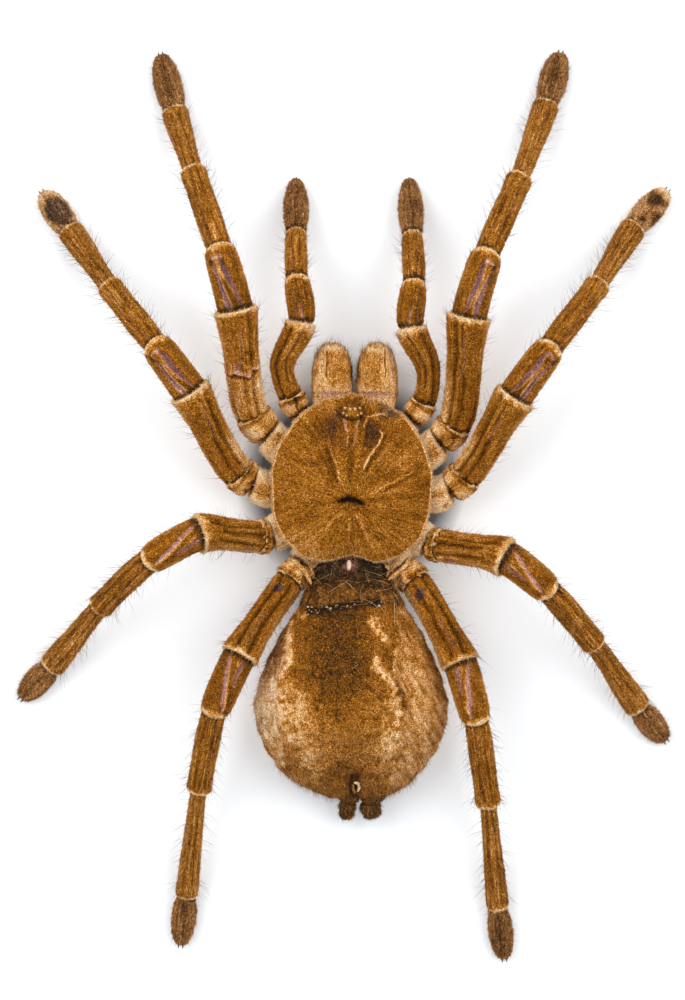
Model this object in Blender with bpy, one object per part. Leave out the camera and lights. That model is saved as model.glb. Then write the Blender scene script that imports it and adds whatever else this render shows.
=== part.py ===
"""A large brown tarantula, dried with its legs spread, lying on its belly.

The spider faces +Y, +Z is up, and its left side is at -X. Every size below is in
millimetres. Limb joints are measured from the pit in the middle of the carapace, with
heights above the surface that the spider lies on.
"""

import math

import bmesh
import bpy
from mathutils import Vector

MM = 0.001

# Clearance between neighbouring pieces, which are separate solids
GAP = 0.3

# Limb joints. Each limb runs from the breastplate through the hip, the trochanter, the
# femur, the patella, the tibia and, on a leg, the metatarsus to the tip of the tarsus.
# A pedipalp has no metatarsus, and its bowed femur has a point of its own halfway.
JOINTS = {
    "leg_1_left": [(-7.8, 9.0, 6.0), (-19.7, 15.8, 8.0), (-23.4, 20.3, 9.5), (-27.1, 44.7, 21.0),
                   (-30.8, 58.4, 22.5), (-37.3, 77.4, 11.5), (-42.1, 92.7, 3.0), (-45.2, 105.5, 1.9)],
    "leg_2_left": [(-9.0, 3.8, 6.0), (-23.5, 4.2, 8.0), (-27.0, 6.6, 9.5), (-37.9, 25.6, 21.5),
                   (-45.5, 36.0, 23.0), (-57.0, 50.3, 11.5), (-67.0, 64.3, 3.0), (-73.3, 72.9, 1.9)],
    "leg_3_left": [(-8.6, -2.2, 6.0), (-19.2, -8.4, 8.0), (-22.2, -8.7, 9.5), (-35.7, -7.9, 22.5),
                   (-46.8, -13.9, 23.5), (-59.2, -25.2, 11.5), (-71.5, -39.8, 3.0), (-78.3, -47.0, 1.9)],
    "leg_4_left": [(-5.0, -6.5, 6.0), (-11.4, -15.1, 8.0), (-14.7, -19.3, 9.5), (-26.3, -36.6, 20.0),
                   (-32.0, -49.4, 21.5), (-35.9, -68.2, 12.0), (-39.2, -94.4, 3.0), (-40.5, -105.5, 1.9)],
    "leg_1_right": [(7.8, 8.6, 6.0), (20.9, 13.9, 8.0), (24.4, 17.9, 9.5), (27.4, 43.1, 21.0),
                    (31.5, 57.2, 22.5), (39.6, 75.8, 11.5), (46.4, 94.4, 3.0), (49.6, 106.0, 1.9)],
    "leg_2_right": [(9.0, 3.0, 6.0), (23.3, 2.8, 8.0), (27.0, 6.1, 9.5), (38.3, 24.5, 21.5),
                    (46.1, 35.3, 23.0), (58.0, 50.8, 11.5), (67.3, 65.0, 3.0), (74.8, 73.4, 1.9)],
    "leg_3_right": [(8.6, -3.0, 6.0), (18.1, -10.2, 8.0), (21.1, -10.8, 9.5), (36.2, -13.5, 22.5),
                    (45.6, -20.9, 23.5), (57.1, -33.9, 11.5), (68.4, -49.6, 3.0), (74.5, -57.0, 1.9)],
    "leg_4_right": [(5.0, -6.5, 6.0), (11.9, -15.8, 8.0), (15.2, -19.6, 9.5), (25.4, -38.3, 20.0),
                    (29.0, -51.2, 21.5), (32.1, -71.5, 12.0), (34.8, -97.2, 3.0), (36.3, -108.8, 1.9)],
    "pedipalp_left": [(-3.6, 11.5, 6.5), (-11.9, 20.4, 8.5), (-14.5, 24.8, 9.5), (-16.3, 31.5, 12.0),
                      (-11.8, 41.9, 16.0), (-12.8, 51.9, 16.0), (-13.1, 63.2, 8.0), (-13.1, 75.9, 2.2)],
    "pedipalp_right": [(3.6, 11.2, 6.5), (13.9, 19.0, 8.5), (17.1, 23.3, 9.5), (18.0, 30.8, 12.0),
                       (13.9, 40.7, 16.0), (14.6, 50.8, 16.0), (14.3, 62.7, 8.0), (13.7, 75.9, 2.2)],
}

# Cross-sections along each segment: share of its length, width, height over width.
# Each segment flares to a cuff at its far end, and the next one starts narrower inside it.
LEG_SEGMENTS = [
    ("trochanter", [(0.0, 7.6, 1.05), (0.55, 8.4, 1.05), (0.95, 7.8, 1.05)]),
    ("femur", [(0.05, 7.4, 1.10), (0.4, 7.8, 1.15), (0.7, 8.3, 1.12), (0.94, 9.5, 1.02)]),
    ("patella", [(0.06, 7.5, 1.05), (0.5, 8.0, 1.05), (0.92, 7.0, 1.0)]),
    ("tibia", [(0.02, 5.8, 1.05), (0.5, 6.1, 1.05), (0.95, 5.7, 1.0)]),
    ("metatarsus", [(0.01, 4.4, 1.0), (0.45, 5.1, 0.95), (0.88, 6.3, 0.9)]),
    ("tarsus", [(0.0, 5.0, 0.85), (0.25, 6.6, 0.8), (0.52, 6.9, 0.74), (0.8, 5.1, 0.68), (1.0, 2.4, 0.62)]),
]
PALP_SEGMENTS = [
    ("trochanter", [(0.0, 6.0, 1.1), (0.6, 6.6, 1.1)]),
    ("femur_base", [(0.05, 5.6, 1.2), (0.5, 5.3, 1.3), (1.0, 5.6, 1.3)]),
    ("femur_end", [(0.5, 6.3, 1.15), (0.93, 7.0, 1.05)]),
    ("patella", [(0.06, 6.0, 1.05), (0.5, 6.5, 1.05), (0.92, 5.3, 1.0)]),
    ("tibia", [(0.02, 4.8, 1.05), (0.5, 5.4, 1.0), (0.96, 4.9, 1.0)]),
    ("tarsus", [(0.02, 4.6, 0.95), (0.25, 6.1, 0.85), (0.55, 6.1, 0.8), (0.84, 4.5, 0.75), (1.0, 2.2, 0.7)]),
]
COXA_SECTIONS = [(0.0, 6.0, 1.1), (0.4, 7.6, 1.1), (0.8, 8.6, 1.0), (1.0, 8.2, 1.0)]
MAXILLA_SECTIONS = [(0.0, 6.0, 1.1), (0.5, 7.0, 1.1), (0.85, 6.8, 1.1), (1.0, 6.4, 1.1)]

# How stout each leg is beside the table above, segment by segment
GIRTH = {
    "leg_1": (1.0, 1.04, 1.0, 1.0, 1.0, 1.0),
    "leg_2": (1.0, 0.98, 1.0, 0.98, 1.0, 1.0),
    "leg_3": (0.95, 0.98, 0.96, 0.98, 1.0, 0.96),
    "leg_4": (0.92, 0.93, 0.98, 0.96, 0.84, 0.87),
}
PLAIN_GIRTH = (1.0,) * 6

# How far a limb's centre line keeps to the mean direction of two segments at their joint
LEG_SOFTNESS = 0.6
PALP_SOFTNESS = 1.0
LIMB_SIDES = 10

# Claws: two on a leg, one on a pedipalp
CLAW_LENGTH = 1.7
CLAW_RADIUS = 0.34
CLAW_SPREAD = 0.5

# Carapace
CARAPACE_CENTRE_Y = 4.7
CARAPACE_HALF_WIDTH = 18.9
CARAPACE_FRONT = 20.2
CARAPACE_REAR = 19.8
CARAPACE_UNDERSIDE = 13.0
CARAPACE_EDGE = 0.9
CARAPACE_RISE = 4.8
HEAD_RISE = 1.7
HEAD_CENTRE_Y = 13.5
HEAD_HALF_WIDTH = 8.0
HEAD_HALF_LENGTH = 10.5
PIT_DEPTH = 1.5
PIT_HALF_WIDTH = 2.8
PIT_HALF_LENGTH = 1.0
GROOVE_DEPTH = 0.35
GROOVES = 8
REAR_NOTCH_DEPTH = 1.9
REAR_NOTCH_HALF_WIDTH = 4.6
EYE_MOUND = (-0.1, 20.2, 16.6)
EYE_MOUND_RADII = (2.4, 1.8, 1.7)

# Breastplate and the body between it and the carapace: height, half width, half length
TRUNK_CENTRE_Y = 3.0
TRUNK_LEVELS = [(2.4, 6.6, 8.2), (3.0, 7.8, 9.4), (6.0, 11.0, 12.5), (10.5, 15.0, 16.0), (12.6, 15.4, 16.6)]
LABIUM = (0.0, 12.2, 5.2)
LABIUM_RADII = (2.6, 2.2, 2.4)

# Chelicerae: distance forward, width, centre height, height
CHELICERA_CENTRES_X = {"left": -4.55, "right": 6.0}
CHELICERA_SECTIONS = [(21.8, 7.0, 9.0, 6.4), (23.6, 8.4, 9.0, 7.2), (25.5, 9.4, 9.0, 7.4), (26.8, 10.2, 9.6, 10.6),
                      (30.6, 9.8, 9.6, 11.2), (33.4, 8.9, 9.5, 10.6), (35.3, 7.2, 9.3, 8.8),
                      (36.7, 4.8, 9.0, 6.0)]
# Fangs, folded back under the chelicerae: distance forward, centre height, radius
FANG_PATH = [(34.6, 3.0, 1.2), (32.0, 2.2, 1.4), (28.5, 1.9, 1.1), (25.5, 2.2, 0.65), (23.4, 3.0, 0.25)]

# Abdomen, from the waist to the spinnerets: distance forward, half width, underside, top,
# and how much narrower it is below, where the rear legs lie against it
ABDOMEN_SECTIONS = [
    (-14.9, 2.5, 6.4, 11.4, 0.0), (-17.4, 3.2, 5.6, 12.0, 0.2), (-18.6, 10.6, 4.6, 15.4, 0.5),
    (-21.0, 12.6, 3.0, 18.6, 0.38), (-24.6, 14.2, 1.0, 21.6, 0.3), (-28.5, 16.2, -1.2, 23.6, 0.24),
    (-33.0, 18.6, -2.2, 25.0, 0.16), (-38.0, 20.9, -2.8, 25.8, 0.1), (-43.0, 22.2, -3.0, 26.0, 0.05),
    (-48.0, 22.8, -3.0, 25.6, 0.0), (-53.0, 22.4, -2.8, 24.4, 0.0), (-58.0, 20.7, -2.2, 22.0, 0.0),
    (-62.5, 17.9, -1.2, 18.8, 0.0), (-66.0, 14.2, 0.2, 15.4, 0.0), (-68.8, 9.4, 1.6, 12.4, 0.0),
    (-70.4, 5.6, 2.8, 10.4, 0.0),
]
ABDOMEN_SIDES = 26
ABDOMEN_SQUARENESS = 2.3
# Long folds where the dried skin has sunk: sideways place, half width, depth
ABDOMEN_FOLDS = [(-14.0, 2.6, 1.5), (10.5, 2.4, 1.5)]

# Spinnerets: root and tip, with the radius at each
SPINNERETS = {
    "spinneret_left": ((-0.9, -71.3, 6.8), 2.0, (-1.1, -75.4, 5.4), 1.8),
    "spinneret_right": ((4.3, -71.6, 7.2), 2.6, (5.0, -75.0, 6.0), 2.2),
}

# Colour, roughness
FINISHES = {
    "velvet_brown": ((0.26, 0.10, 0.015), 0.9),
    "pale_joint": ((0.45, 0.25, 0.10), 0.9),
    "abdomen_velvet": ((0.33, 0.16, 0.05), 0.95),
    "tan_bristle": ((0.42, 0.20, 0.06), 0.9),
    "fang_black": ((0.015, 0.010, 0.009), 0.3),
    "spinneret_brown": ((0.14, 0.08, 0.035), 0.8),
}


def clear_scene():
    for obj in list(bpy.data.objects):
        bpy.data.objects.remove(obj)


def finish(name):
    """A Principled material with one of the colours above."""
    found = bpy.data.materials.get(name)
    if found:
        return found
    colour, roughness = FINISHES[name]
    material = bpy.data.materials.new(name)
    material.use_nodes = True
    shader = material.node_tree.nodes["Principled BSDF"]
    shader.inputs["Base Color"].default_value = (*colour, 1.0)
    shader.inputs["Roughness"].default_value = roughness
    shader.inputs["Metallic"].default_value = 0.0
    return material


def solid(name, rings, material, collection=None):
    """One closed solid through rings of points in millimetres, each end closed by a face."""
    mesh = bpy.data.meshes.new(name)
    shape = bmesh.new()
    loops = [[shape.verts.new(Vector(point) * MM) for point in ring] for ring in rings]
    for near, far in zip(loops, loops[1:]):
        count = len(near)
        for i in range(count):
            j = (i + 1) % count
            shape.faces.new((near[i], near[j], far[j], far[i]))
    shape.faces.new(loops[0][::-1])
    shape.faces.new(loops[-1])
    bmesh.ops.recalc_face_normals(shape, faces=shape.faces)
    shape.to_mesh(mesh)
    shape.free()
    mesh.shade_smooth()
    mesh.materials.append(finish(material))
    obj = bpy.data.objects.new(name, mesh)
    (collection or bpy.context.scene.collection).objects.link(obj)
    return obj


def join_to(obj, parts):
    """Joins closed shapes to obj with one Boolean, and keeps them out of the model."""
    group = bpy.data.collections.new(obj.name + "_parts")
    bpy.context.scene.collection.children.link(group)
    for part in parts:
        for owner in list(part.users_collection):
            owner.objects.unlink(part)
        group.objects.link(part)
        part.parent = obj
        part.hide_render = True
        part.display_type = "WIRE"
    union = obj.modifiers.new("join", "BOOLEAN")
    union.operation = "UNION"
    union.operand_type = "COLLECTION"
    union.collection = group
    union.solver = "EXACT"
    return obj


def signed_power(value, power):
    return math.copysign(abs(value) ** power, value)


def oval(centre, across, up, sides, squareness=2.0, floor=None):
    """A ring of points round centre, with across and up as its half axes."""
    ring = []
    for i in range(sides):
        angle = 2 * math.pi * i / sides
        c = signed_power(math.cos(angle), 2 / squareness)
        s = signed_power(math.sin(angle), 2 / squareness)
        point = centre + across * c + up * s
        if floor is not None:
            point.z = max(point.z, floor)
        ring.append(point)
    return ring


def limb_line(joints, softness):
    """The limb's centre line as a function of segment and share of its length.

    Each segment is a Hermite cubic. At a joint the line runs in the mean direction of the
    two segments that meet there, and at the limb's ends along the segment itself.
    """
    points = [Vector(p) for p in joints]
    headings = [(b - a).normalized() for a, b in zip(points, points[1:])]
    at_joint = [headings[0]]
    at_joint += [(a + b).normalized() for a, b in zip(headings, headings[1:])]
    at_joint.append(headings[-1])

    def place(segment, share):
        start, end = points[segment], points[segment + 1]
        length = (end - start).length * softness
        t = share
        go, leave = at_joint[segment] * length, at_joint[segment + 1] * length
        point = (start * (2 * t**3 - 3 * t**2 + 1) + go * (t**3 - 2 * t**2 + t)
                 + end * (3 * t**2 - 2 * t**3) + leave * (t**3 - t**2))
        heading = (start * (6 * t**2 - 6 * t) + go * (3 * t**2 - 4 * t + 1)
                   + end * (6 * t - 6 * t**2) + leave * (3 * t**2 - 2 * t))
        return point, heading.normalized()

    return place


def limb_ring(point, heading, width, tallness):
    """An oval cross-section square to the limb, flattened where it meets the floor."""
    side = heading.cross(Vector((0, 0, 1))).normalized()
    up = side.cross(heading)
    return oval(point, side * width / 2, up * width * tallness / 2, LIMB_SIDES, floor=0.0)


def claw(name, tip, heading, sideways):
    """A short pointed cone at the tip of a foot, turned a little down."""
    side = heading.cross(Vector((0, 0, 1))).normalized()
    root = tip - heading * 0.7 + side * sideways
    aim = (heading + side * sideways * 0.12 - Vector((0, 0, 0.25))).normalized()
    up = side.cross(aim)
    rings = [oval(root + aim * CLAW_LENGTH * share, side * radius, up * radius, 4, floor=0.05)
             for share, radius in ((0.0, CLAW_RADIUS), (0.55, CLAW_RADIUS * 0.8), (1.0, 0.08))]
    return solid(name, rings, "fang_black")


def softness_of(name):
    return PALP_SOFTNESS if name.startswith("pedipalp") else LEG_SOFTNESS


def limb(name, joints, segments, girth, claw_places):
    """A leg or pedipalp from its trochanter to its claws, clear of the hip by the gap."""
    place = limb_line(joints, softness_of(name))
    rings = []
    for number, (_, sections) in enumerate(segments):
        for share, width, tallness in sections:
            point, heading = place(number + 1, share)
            if not rings:
                point += heading * GAP / 2
            rings.append(limb_ring(point, heading, width * girth[number], tallness))
    body = solid(name, rings, "velvet_brown")
    tip, heading = place(len(segments), 1.0)
    claws = [claw(f"{name}_claw_{i}", tip, heading, x) for i, x in enumerate(claw_places)]
    return join_to(body, claws)


def hip(name, joints, sections):
    """A coxa, from inside the trunk to the hip joint, to be joined to the trunk."""
    place = limb_line(joints, softness_of(name))
    rings = []
    for share, width, tallness in sections:
        point, heading = place(0, share)
        if share == 1.0:
            point -= heading * GAP / 2
        rings.append(limb_ring(point, heading, width, tallness))
    return solid(name, rings, "pale_joint")


def trunk():
    """The breastplate, the body above it, the eight coxae and the two maxillae, as one."""
    centre = Vector((0, TRUNK_CENTRE_Y, 0))
    rings = [oval(centre + Vector((0, 0, height)), Vector((half_width, 0, 0)), Vector((0, half_length, 0)), 20)
             for height, half_width, half_length in TRUNK_LEVELS]
    body = solid("sternum_and_coxae", rings, "pale_joint")
    hips = [hip(f"{name}_hip", joints, MAXILLA_SECTIONS if "palp" in name else COXA_SECTIONS)
            for name, joints in JOINTS.items()]
    hips.append(mound("labium", LABIUM, LABIUM_RADII, "pale_joint"))
    return join_to(body, hips)


def mound(name, centre, radii, material):
    """A low-sided ellipsoid, used for the eye mound and the lower lip."""
    levels = [math.radians(a) for a in (-80, -45, 0, 35, 62, 82)]
    rings = [oval(Vector(centre) + Vector((0, 0, radii[2] * math.sin(a))),
                  Vector((radii[0] * math.cos(a), 0, 0)), Vector((0, radii[1] * math.cos(a), 0)), 10)
             for a in levels]
    return solid(name, rings, material)


def carapace_edge(angle):
    """The carapace's outline about its centre: a tapered front and a squarer, notched rear."""
    c, s = math.cos(angle), math.sin(angle)
    if s >= 0:
        x, y = signed_power(c, 2 / 1.85), CARAPACE_FRONT * abs(s) ** (2 / 1.85)
    else:
        x, y = signed_power(c, 2 / 2.7), -CARAPACE_REAR * abs(s) ** (2 / 2.7)
        y += REAR_NOTCH_DEPTH * math.exp(-((x * CARAPACE_HALF_WIDTH / REAR_NOTCH_HALF_WIDTH) ** 2))
    return x * CARAPACE_HALF_WIDTH, y


def carapace_height(x, y, share):
    """The upper face: a low dome with a raised head, rays of grooves and a central pit."""
    height = CARAPACE_UNDERSIDE + CARAPACE_EDGE + CARAPACE_RISE * (1 - share**2.4)
    head = (x / HEAD_HALF_WIDTH) ** 2 + ((y - HEAD_CENTRE_Y) / HEAD_HALF_LENGTH) ** 2
    height += HEAD_RISE * math.exp(-(head**2)) * (1 - share**6)
    ray = 0.5 + 0.5 * math.cos(GROOVES * math.atan2(x, y))
    height -= GROOVE_DEPTH * (1 - ray) * math.sin(math.pi * share) ** 2
    pit = (x / PIT_HALF_WIDTH) ** 2 + (y / PIT_HALF_LENGTH) ** 2
    return height - PIT_DEPTH * math.exp(-(pit**2))


def carapace():
    """The shield over the front body, from a flat underside over the rim to the pit."""
    sectors = 32
    angles = [2 * math.pi * (i + 0.5) / sectors for i in range(sectors)]
    edge = [carapace_edge(a) for a in angles]
    rings = []
    for share in (0.5, 0.96):
        rings.append([(x * share, CARAPACE_CENTRE_Y + y * share, CARAPACE_UNDERSIDE) for x, y in edge])
    for share in (1.0, 0.9, 0.76, 0.6, 0.44, 0.3, 0.18, 0.09):
        ring = []
        for x, y in edge:
            across = x * share
            along = CARAPACE_CENTRE_Y * share + y * share
            ring.append((across, along, carapace_height(across, along, share)))
        rings.append(ring)
    body = solid("carapace", rings, "velvet_brown")
    return join_to(body, [mound("eye_mound", EYE_MOUND, EYE_MOUND_RADII, "velvet_brown")])


def chelicera(side):
    """A jaw: a stout block that swells past the carapace's edge, with a rounded end."""
    centre = CHELICERA_CENTRES_X[side]
    rings = [oval(Vector((centre, y, z)), Vector((width / 2, 0, 0)), Vector((0, 0, height / 2)), 14, 2.6)
             for y, width, z, height in CHELICERA_SECTIONS]
    return solid(f"chelicera_{side}", rings, "tan_bristle")


def fang(side):
    """A curved black fang, folded back along the underside of its jaw."""
    centre = CHELICERA_CENTRES_X[side]
    points = [Vector((centre, y, z)) for y, z, _ in FANG_PATH]
    rings = []
    for i, (point, (_, _, radius)) in enumerate(zip(points, FANG_PATH)):
        heading = (points[min(i + 1, len(points) - 1)] - points[max(i - 1, 0)]).normalized()
        across = Vector((1, 0, 0)) * radius
        rings.append(oval(point, across, heading.cross(Vector((1, 0, 0))) * radius, 8))
    return solid(f"fang_{side}", rings, "fang_black")


def abdomen():
    """The dried abdomen with its waist, flat where it lies on the floor, creased above."""
    rings = []
    for y, half_width, low, high, taper in ABDOMEN_SECTIONS:
        middle, half_height = low + (high - low) * 0.45, (high - low) / 2
        ring = []
        for i in range(ABDOMEN_SIDES):
            angle = 2 * math.pi * i / ABDOMEN_SIDES
            s = signed_power(math.sin(angle), 2 / ABDOMEN_SQUARENESS)
            x = half_width * signed_power(math.cos(angle), 2 / ABDOMEN_SQUARENESS) * (1 - taper * (1 - s) / 2)
            z = middle + half_height * s * (1.1 if s > 0 else 0.9)
            if s > 0 and half_width > 14:
                z -= sum(depth * s * math.exp(-(((x - place) / width) ** 2)) for place, width, depth in ABDOMEN_FOLDS)
            ring.append((x, y, max(z, 0.0)))
        rings.append(ring)
    return solid("abdomen", rings, "abdomen_velvet")


def spinneret(name, root, root_radius, tip, tip_radius):
    """One of the two stubby silk organs that reach past the abdomen."""
    root, tip = Vector(root), Vector(tip)
    heading = (tip - root).normalized()
    side = heading.cross(Vector((0, 0, 1))).normalized()
    up = side.cross(heading)
    sizes = ((0.0, root_radius * 0.9), (0.35, root_radius), (0.5, root_radius * 0.86),
             (0.8, tip_radius), (1.0, tip_radius * 0.5))
    rings = [oval(root.lerp(tip, share), side * radius, up * radius, 10) for share, radius in sizes]
    return solid(name, rings, "spinneret_brown")


def rest_on_origin(pieces):
    """Hangs the pieces on one empty, moved so that the model stands centred on the origin."""
    holder = bpy.data.objects.new("tarantula", None)
    bpy.context.scene.collection.objects.link(holder)
    for piece in pieces:
        piece.parent = holder
    bpy.context.view_layer.update()
    depsgraph = bpy.context.evaluated_depsgraph_get()
    corners = []
    for piece in pieces:
        shown = piece.evaluated_get(depsgraph)
        corners += [vertex.co.copy() for vertex in shown.data.vertices]
    low = Vector([min(c[k] for c in corners) for k in range(3)])
    high = Vector([max(c[k] for c in corners) for k in range(3)])
    holder.location = (-(low.x + high.x) / 2, -(low.y + high.y) / 2, -low.z)


def main():
    clear_scene()
    pieces = [carapace(), trunk(), abdomen()]
    for name, joints in JOINTS.items():
        if name.startswith("pedipalp"):
            pieces.append(limb(name, joints, PALP_SEGMENTS, PLAIN_GIRTH, (0.0,)))
        else:
            pieces.append(limb(name, joints, LEG_SEGMENTS, GIRTH[name[:5]], (-CLAW_SPREAD, CLAW_SPREAD)))
    for side in ("left", "right"):
        pieces += [chelicera(side), fang(side)]
    for name, shape in SPINNERETS.items():
        pieces.append(spinneret(name, *shape))
    rest_on_origin(pieces)


main()
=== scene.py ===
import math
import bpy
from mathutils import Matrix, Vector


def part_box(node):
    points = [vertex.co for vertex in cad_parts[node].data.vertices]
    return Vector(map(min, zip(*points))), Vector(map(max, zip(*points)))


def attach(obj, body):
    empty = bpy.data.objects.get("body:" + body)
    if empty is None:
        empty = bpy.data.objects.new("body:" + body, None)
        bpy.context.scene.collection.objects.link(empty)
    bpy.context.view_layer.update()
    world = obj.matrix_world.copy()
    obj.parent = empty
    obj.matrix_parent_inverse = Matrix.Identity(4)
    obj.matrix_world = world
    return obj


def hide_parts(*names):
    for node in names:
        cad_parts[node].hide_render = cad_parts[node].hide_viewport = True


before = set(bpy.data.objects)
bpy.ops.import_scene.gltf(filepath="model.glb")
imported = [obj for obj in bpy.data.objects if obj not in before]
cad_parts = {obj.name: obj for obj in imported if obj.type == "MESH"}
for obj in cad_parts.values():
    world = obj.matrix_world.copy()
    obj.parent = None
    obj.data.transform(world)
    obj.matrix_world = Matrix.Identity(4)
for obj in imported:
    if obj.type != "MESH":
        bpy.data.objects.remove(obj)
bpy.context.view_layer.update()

# A large brown tarantula, dried with its legs spread, on a pale floor and seen from above.
# Lengths are in millimetres until a mesh is made. The head points to +Y.
# A "tone" runs from 0, near black, through dark brown, rust and tan to 1, cream.
# A "grey" of 1 takes most of the warmth out of a tone, and "bare" is skin without velvet.

import zlib

import bpy
import numpy as np

MM = 0.001
UP = np.array([0.0, 0.0, 1.0])
# Least height of hair and of the limbs' skin
LEAST_HEIGHT = 0.03
# Angles of a hair's three sides
HAIR_SIDES = (0.0, 2.0944, 4.1888)
# The shield's half width, the middle of its outline along Y and the height of its edge
SHIELD_HALF_WIDTH, SHIELD_MIDDLE, SHIELD_EDGE = 18.9, 4.7, 13.0
# Half axes of the oval of painted shadow on the floor
PAINTED_SHADOW_REACH = (48, 46)
# Height of the camera's view on the floor, and of its sensor
VIEW_HEIGHT, SENSOR_HEIGHT = 238.0, 24.0

# Limb joints, as the solids have them
JOINTS = {
    "leg_1_left": [(-7.8, 9.0, 6.0), (-19.7, 15.8, 8.0), (-23.4, 20.3, 9.5), (-27.1, 44.7, 21.0),
                   (-30.8, 58.4, 22.5), (-37.3, 77.4, 11.5), (-42.1, 92.7, 3.0), (-45.2, 105.5, 1.9)],
    "leg_2_left": [(-9.0, 3.8, 6.0), (-23.5, 4.2, 8.0), (-27.0, 6.6, 9.5), (-37.9, 25.6, 21.5),
                   (-45.5, 36.0, 23.0), (-57.0, 50.3, 11.5), (-67.0, 64.3, 3.0), (-73.3, 72.9, 1.9)],
    "leg_3_left": [(-8.6, -2.2, 6.0), (-19.2, -8.4, 8.0), (-22.2, -8.7, 9.5), (-35.7, -7.9, 22.5),
                   (-46.8, -13.9, 23.5), (-59.2, -25.2, 11.5), (-71.5, -39.8, 3.0), (-78.3, -47.0, 1.9)],
    "leg_4_left": [(-5.0, -6.5, 6.0), (-11.4, -15.1, 8.0), (-14.7, -19.3, 9.5), (-26.3, -36.6, 20.0),
                   (-32.0, -49.4, 21.5), (-35.9, -68.2, 12.0), (-39.2, -94.4, 3.0), (-40.5, -105.5, 1.9)],
    "leg_1_right": [(7.8, 8.6, 6.0), (20.9, 13.9, 8.0), (24.4, 17.9, 9.5), (27.4, 43.1, 21.0),
                    (31.5, 57.2, 22.5), (39.6, 75.8, 11.5), (46.4, 94.4, 3.0), (49.6, 106.0, 1.9)],
    "leg_2_right": [(9.0, 3.0, 6.0), (23.3, 2.8, 8.0), (27.0, 6.1, 9.5), (38.3, 24.5, 21.5),
                    (46.1, 35.3, 23.0), (58.0, 50.8, 11.5), (67.3, 65.0, 3.0), (74.8, 73.4, 1.9)],
    "leg_3_right": [(8.6, -3.0, 6.0), (18.1, -10.2, 8.0), (21.1, -10.8, 9.5), (36.2, -13.5, 22.5),
                    (45.6, -20.9, 23.5), (57.1, -33.9, 11.5), (68.4, -49.6, 3.0), (74.5, -57.0, 1.9)],
    "leg_4_right": [(5.0, -6.5, 6.0), (11.9, -15.8, 8.0), (15.2, -19.6, 9.5), (25.4, -38.3, 20.0),
                    (29.0, -51.2, 21.5), (32.1, -71.5, 12.0), (34.8, -97.2, 3.0), (36.3, -108.8, 1.9)],
    "pedipalp_left": [(-3.6, 11.5, 6.5), (-11.9, 20.4, 8.5), (-14.5, 24.8, 9.5), (-16.3, 31.5, 12.0),
                      (-11.8, 41.9, 16.0), (-12.8, 51.9, 16.0), (-13.1, 63.2, 8.0), (-13.1, 75.9, 2.2)],
    "pedipalp_right": [(3.6, 11.2, 6.5), (13.9, 19.0, 8.5), (17.1, 23.3, 9.5), (18.0, 30.8, 12.0),
                       (13.9, 40.7, 16.0), (14.6, 50.8, 16.0), (14.3, 62.7, 8.0), (13.7, 75.9, 2.2)],
}
# How far a limb's line swings out at its joints
LEG_SOFTNESS = 0.6
PALP_SOFTNESS = 1.0

# Limb segments: joints where each begins and ends, where its surface starts and stops as
# shares of its length, how far its rim arches forward on top (mm), the rim's rounding (mm),
# and its profile as rows of share, width and height over width.
LEG_SEGMENTS = [
    ("trochanter", 1, 2, 0.02, 0.97, 0.3, 1.1,
     [(0.0, 7.2, 1.05), (0.3, 8.4, 1.06), (0.7, 8.8, 1.06), (1.0, 8.4, 1.05)]),
    ("femur", 2, 3, -0.10, 0.985, 0.7, 0.4,
     [(0.0, 7.2, 1.08), (0.12, 7.7, 1.12), (0.4, 7.6, 1.17), (0.62, 7.9, 1.15), (0.82, 9.0, 1.06),
      (0.94, 9.6, 1.0), (1.0, 9.7, 0.99)]),
    ("patella", 3, 4, -0.07, 0.985, 0.7, 0.6,
     [(0.0, 7.9, 1.0), (0.2, 7.9, 1.04), (0.5, 7.8, 1.06), (0.75, 7.6, 1.05), (1.0, 6.7, 1.0)]),
    ("tibia", 4, 5, -0.12, 0.975, 0.5, 0.4,
     [(-0.1, 5.2, 1.0), (0.0, 5.7, 1.04), (0.35, 6.1, 1.06), (0.75, 5.8, 1.03), (1.0, 6.2, 1.0)]),
    ("metatarsus", 5, 6, -0.06, 0.965, 0.5, 0.4,
     [(-0.1, 4.0, 1.0), (0.0, 4.3, 1.0), (0.3, 4.7, 0.98), (0.7, 5.9, 0.93), (0.88, 6.2, 0.9),
      (1.0, 5.7, 0.9)]),
    ("tarsus", 6, 7, -0.10, 1.03, 0.0, 1.1,
     [(-0.1, 4.2, 0.86), (0.06, 5.2, 0.84), (0.28, 6.4, 0.8), (0.5, 6.6, 0.76), (0.72, 5.7, 0.7),
      (0.88, 4.2, 0.64), (1.0, 2.9, 0.6)]),
]
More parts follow.
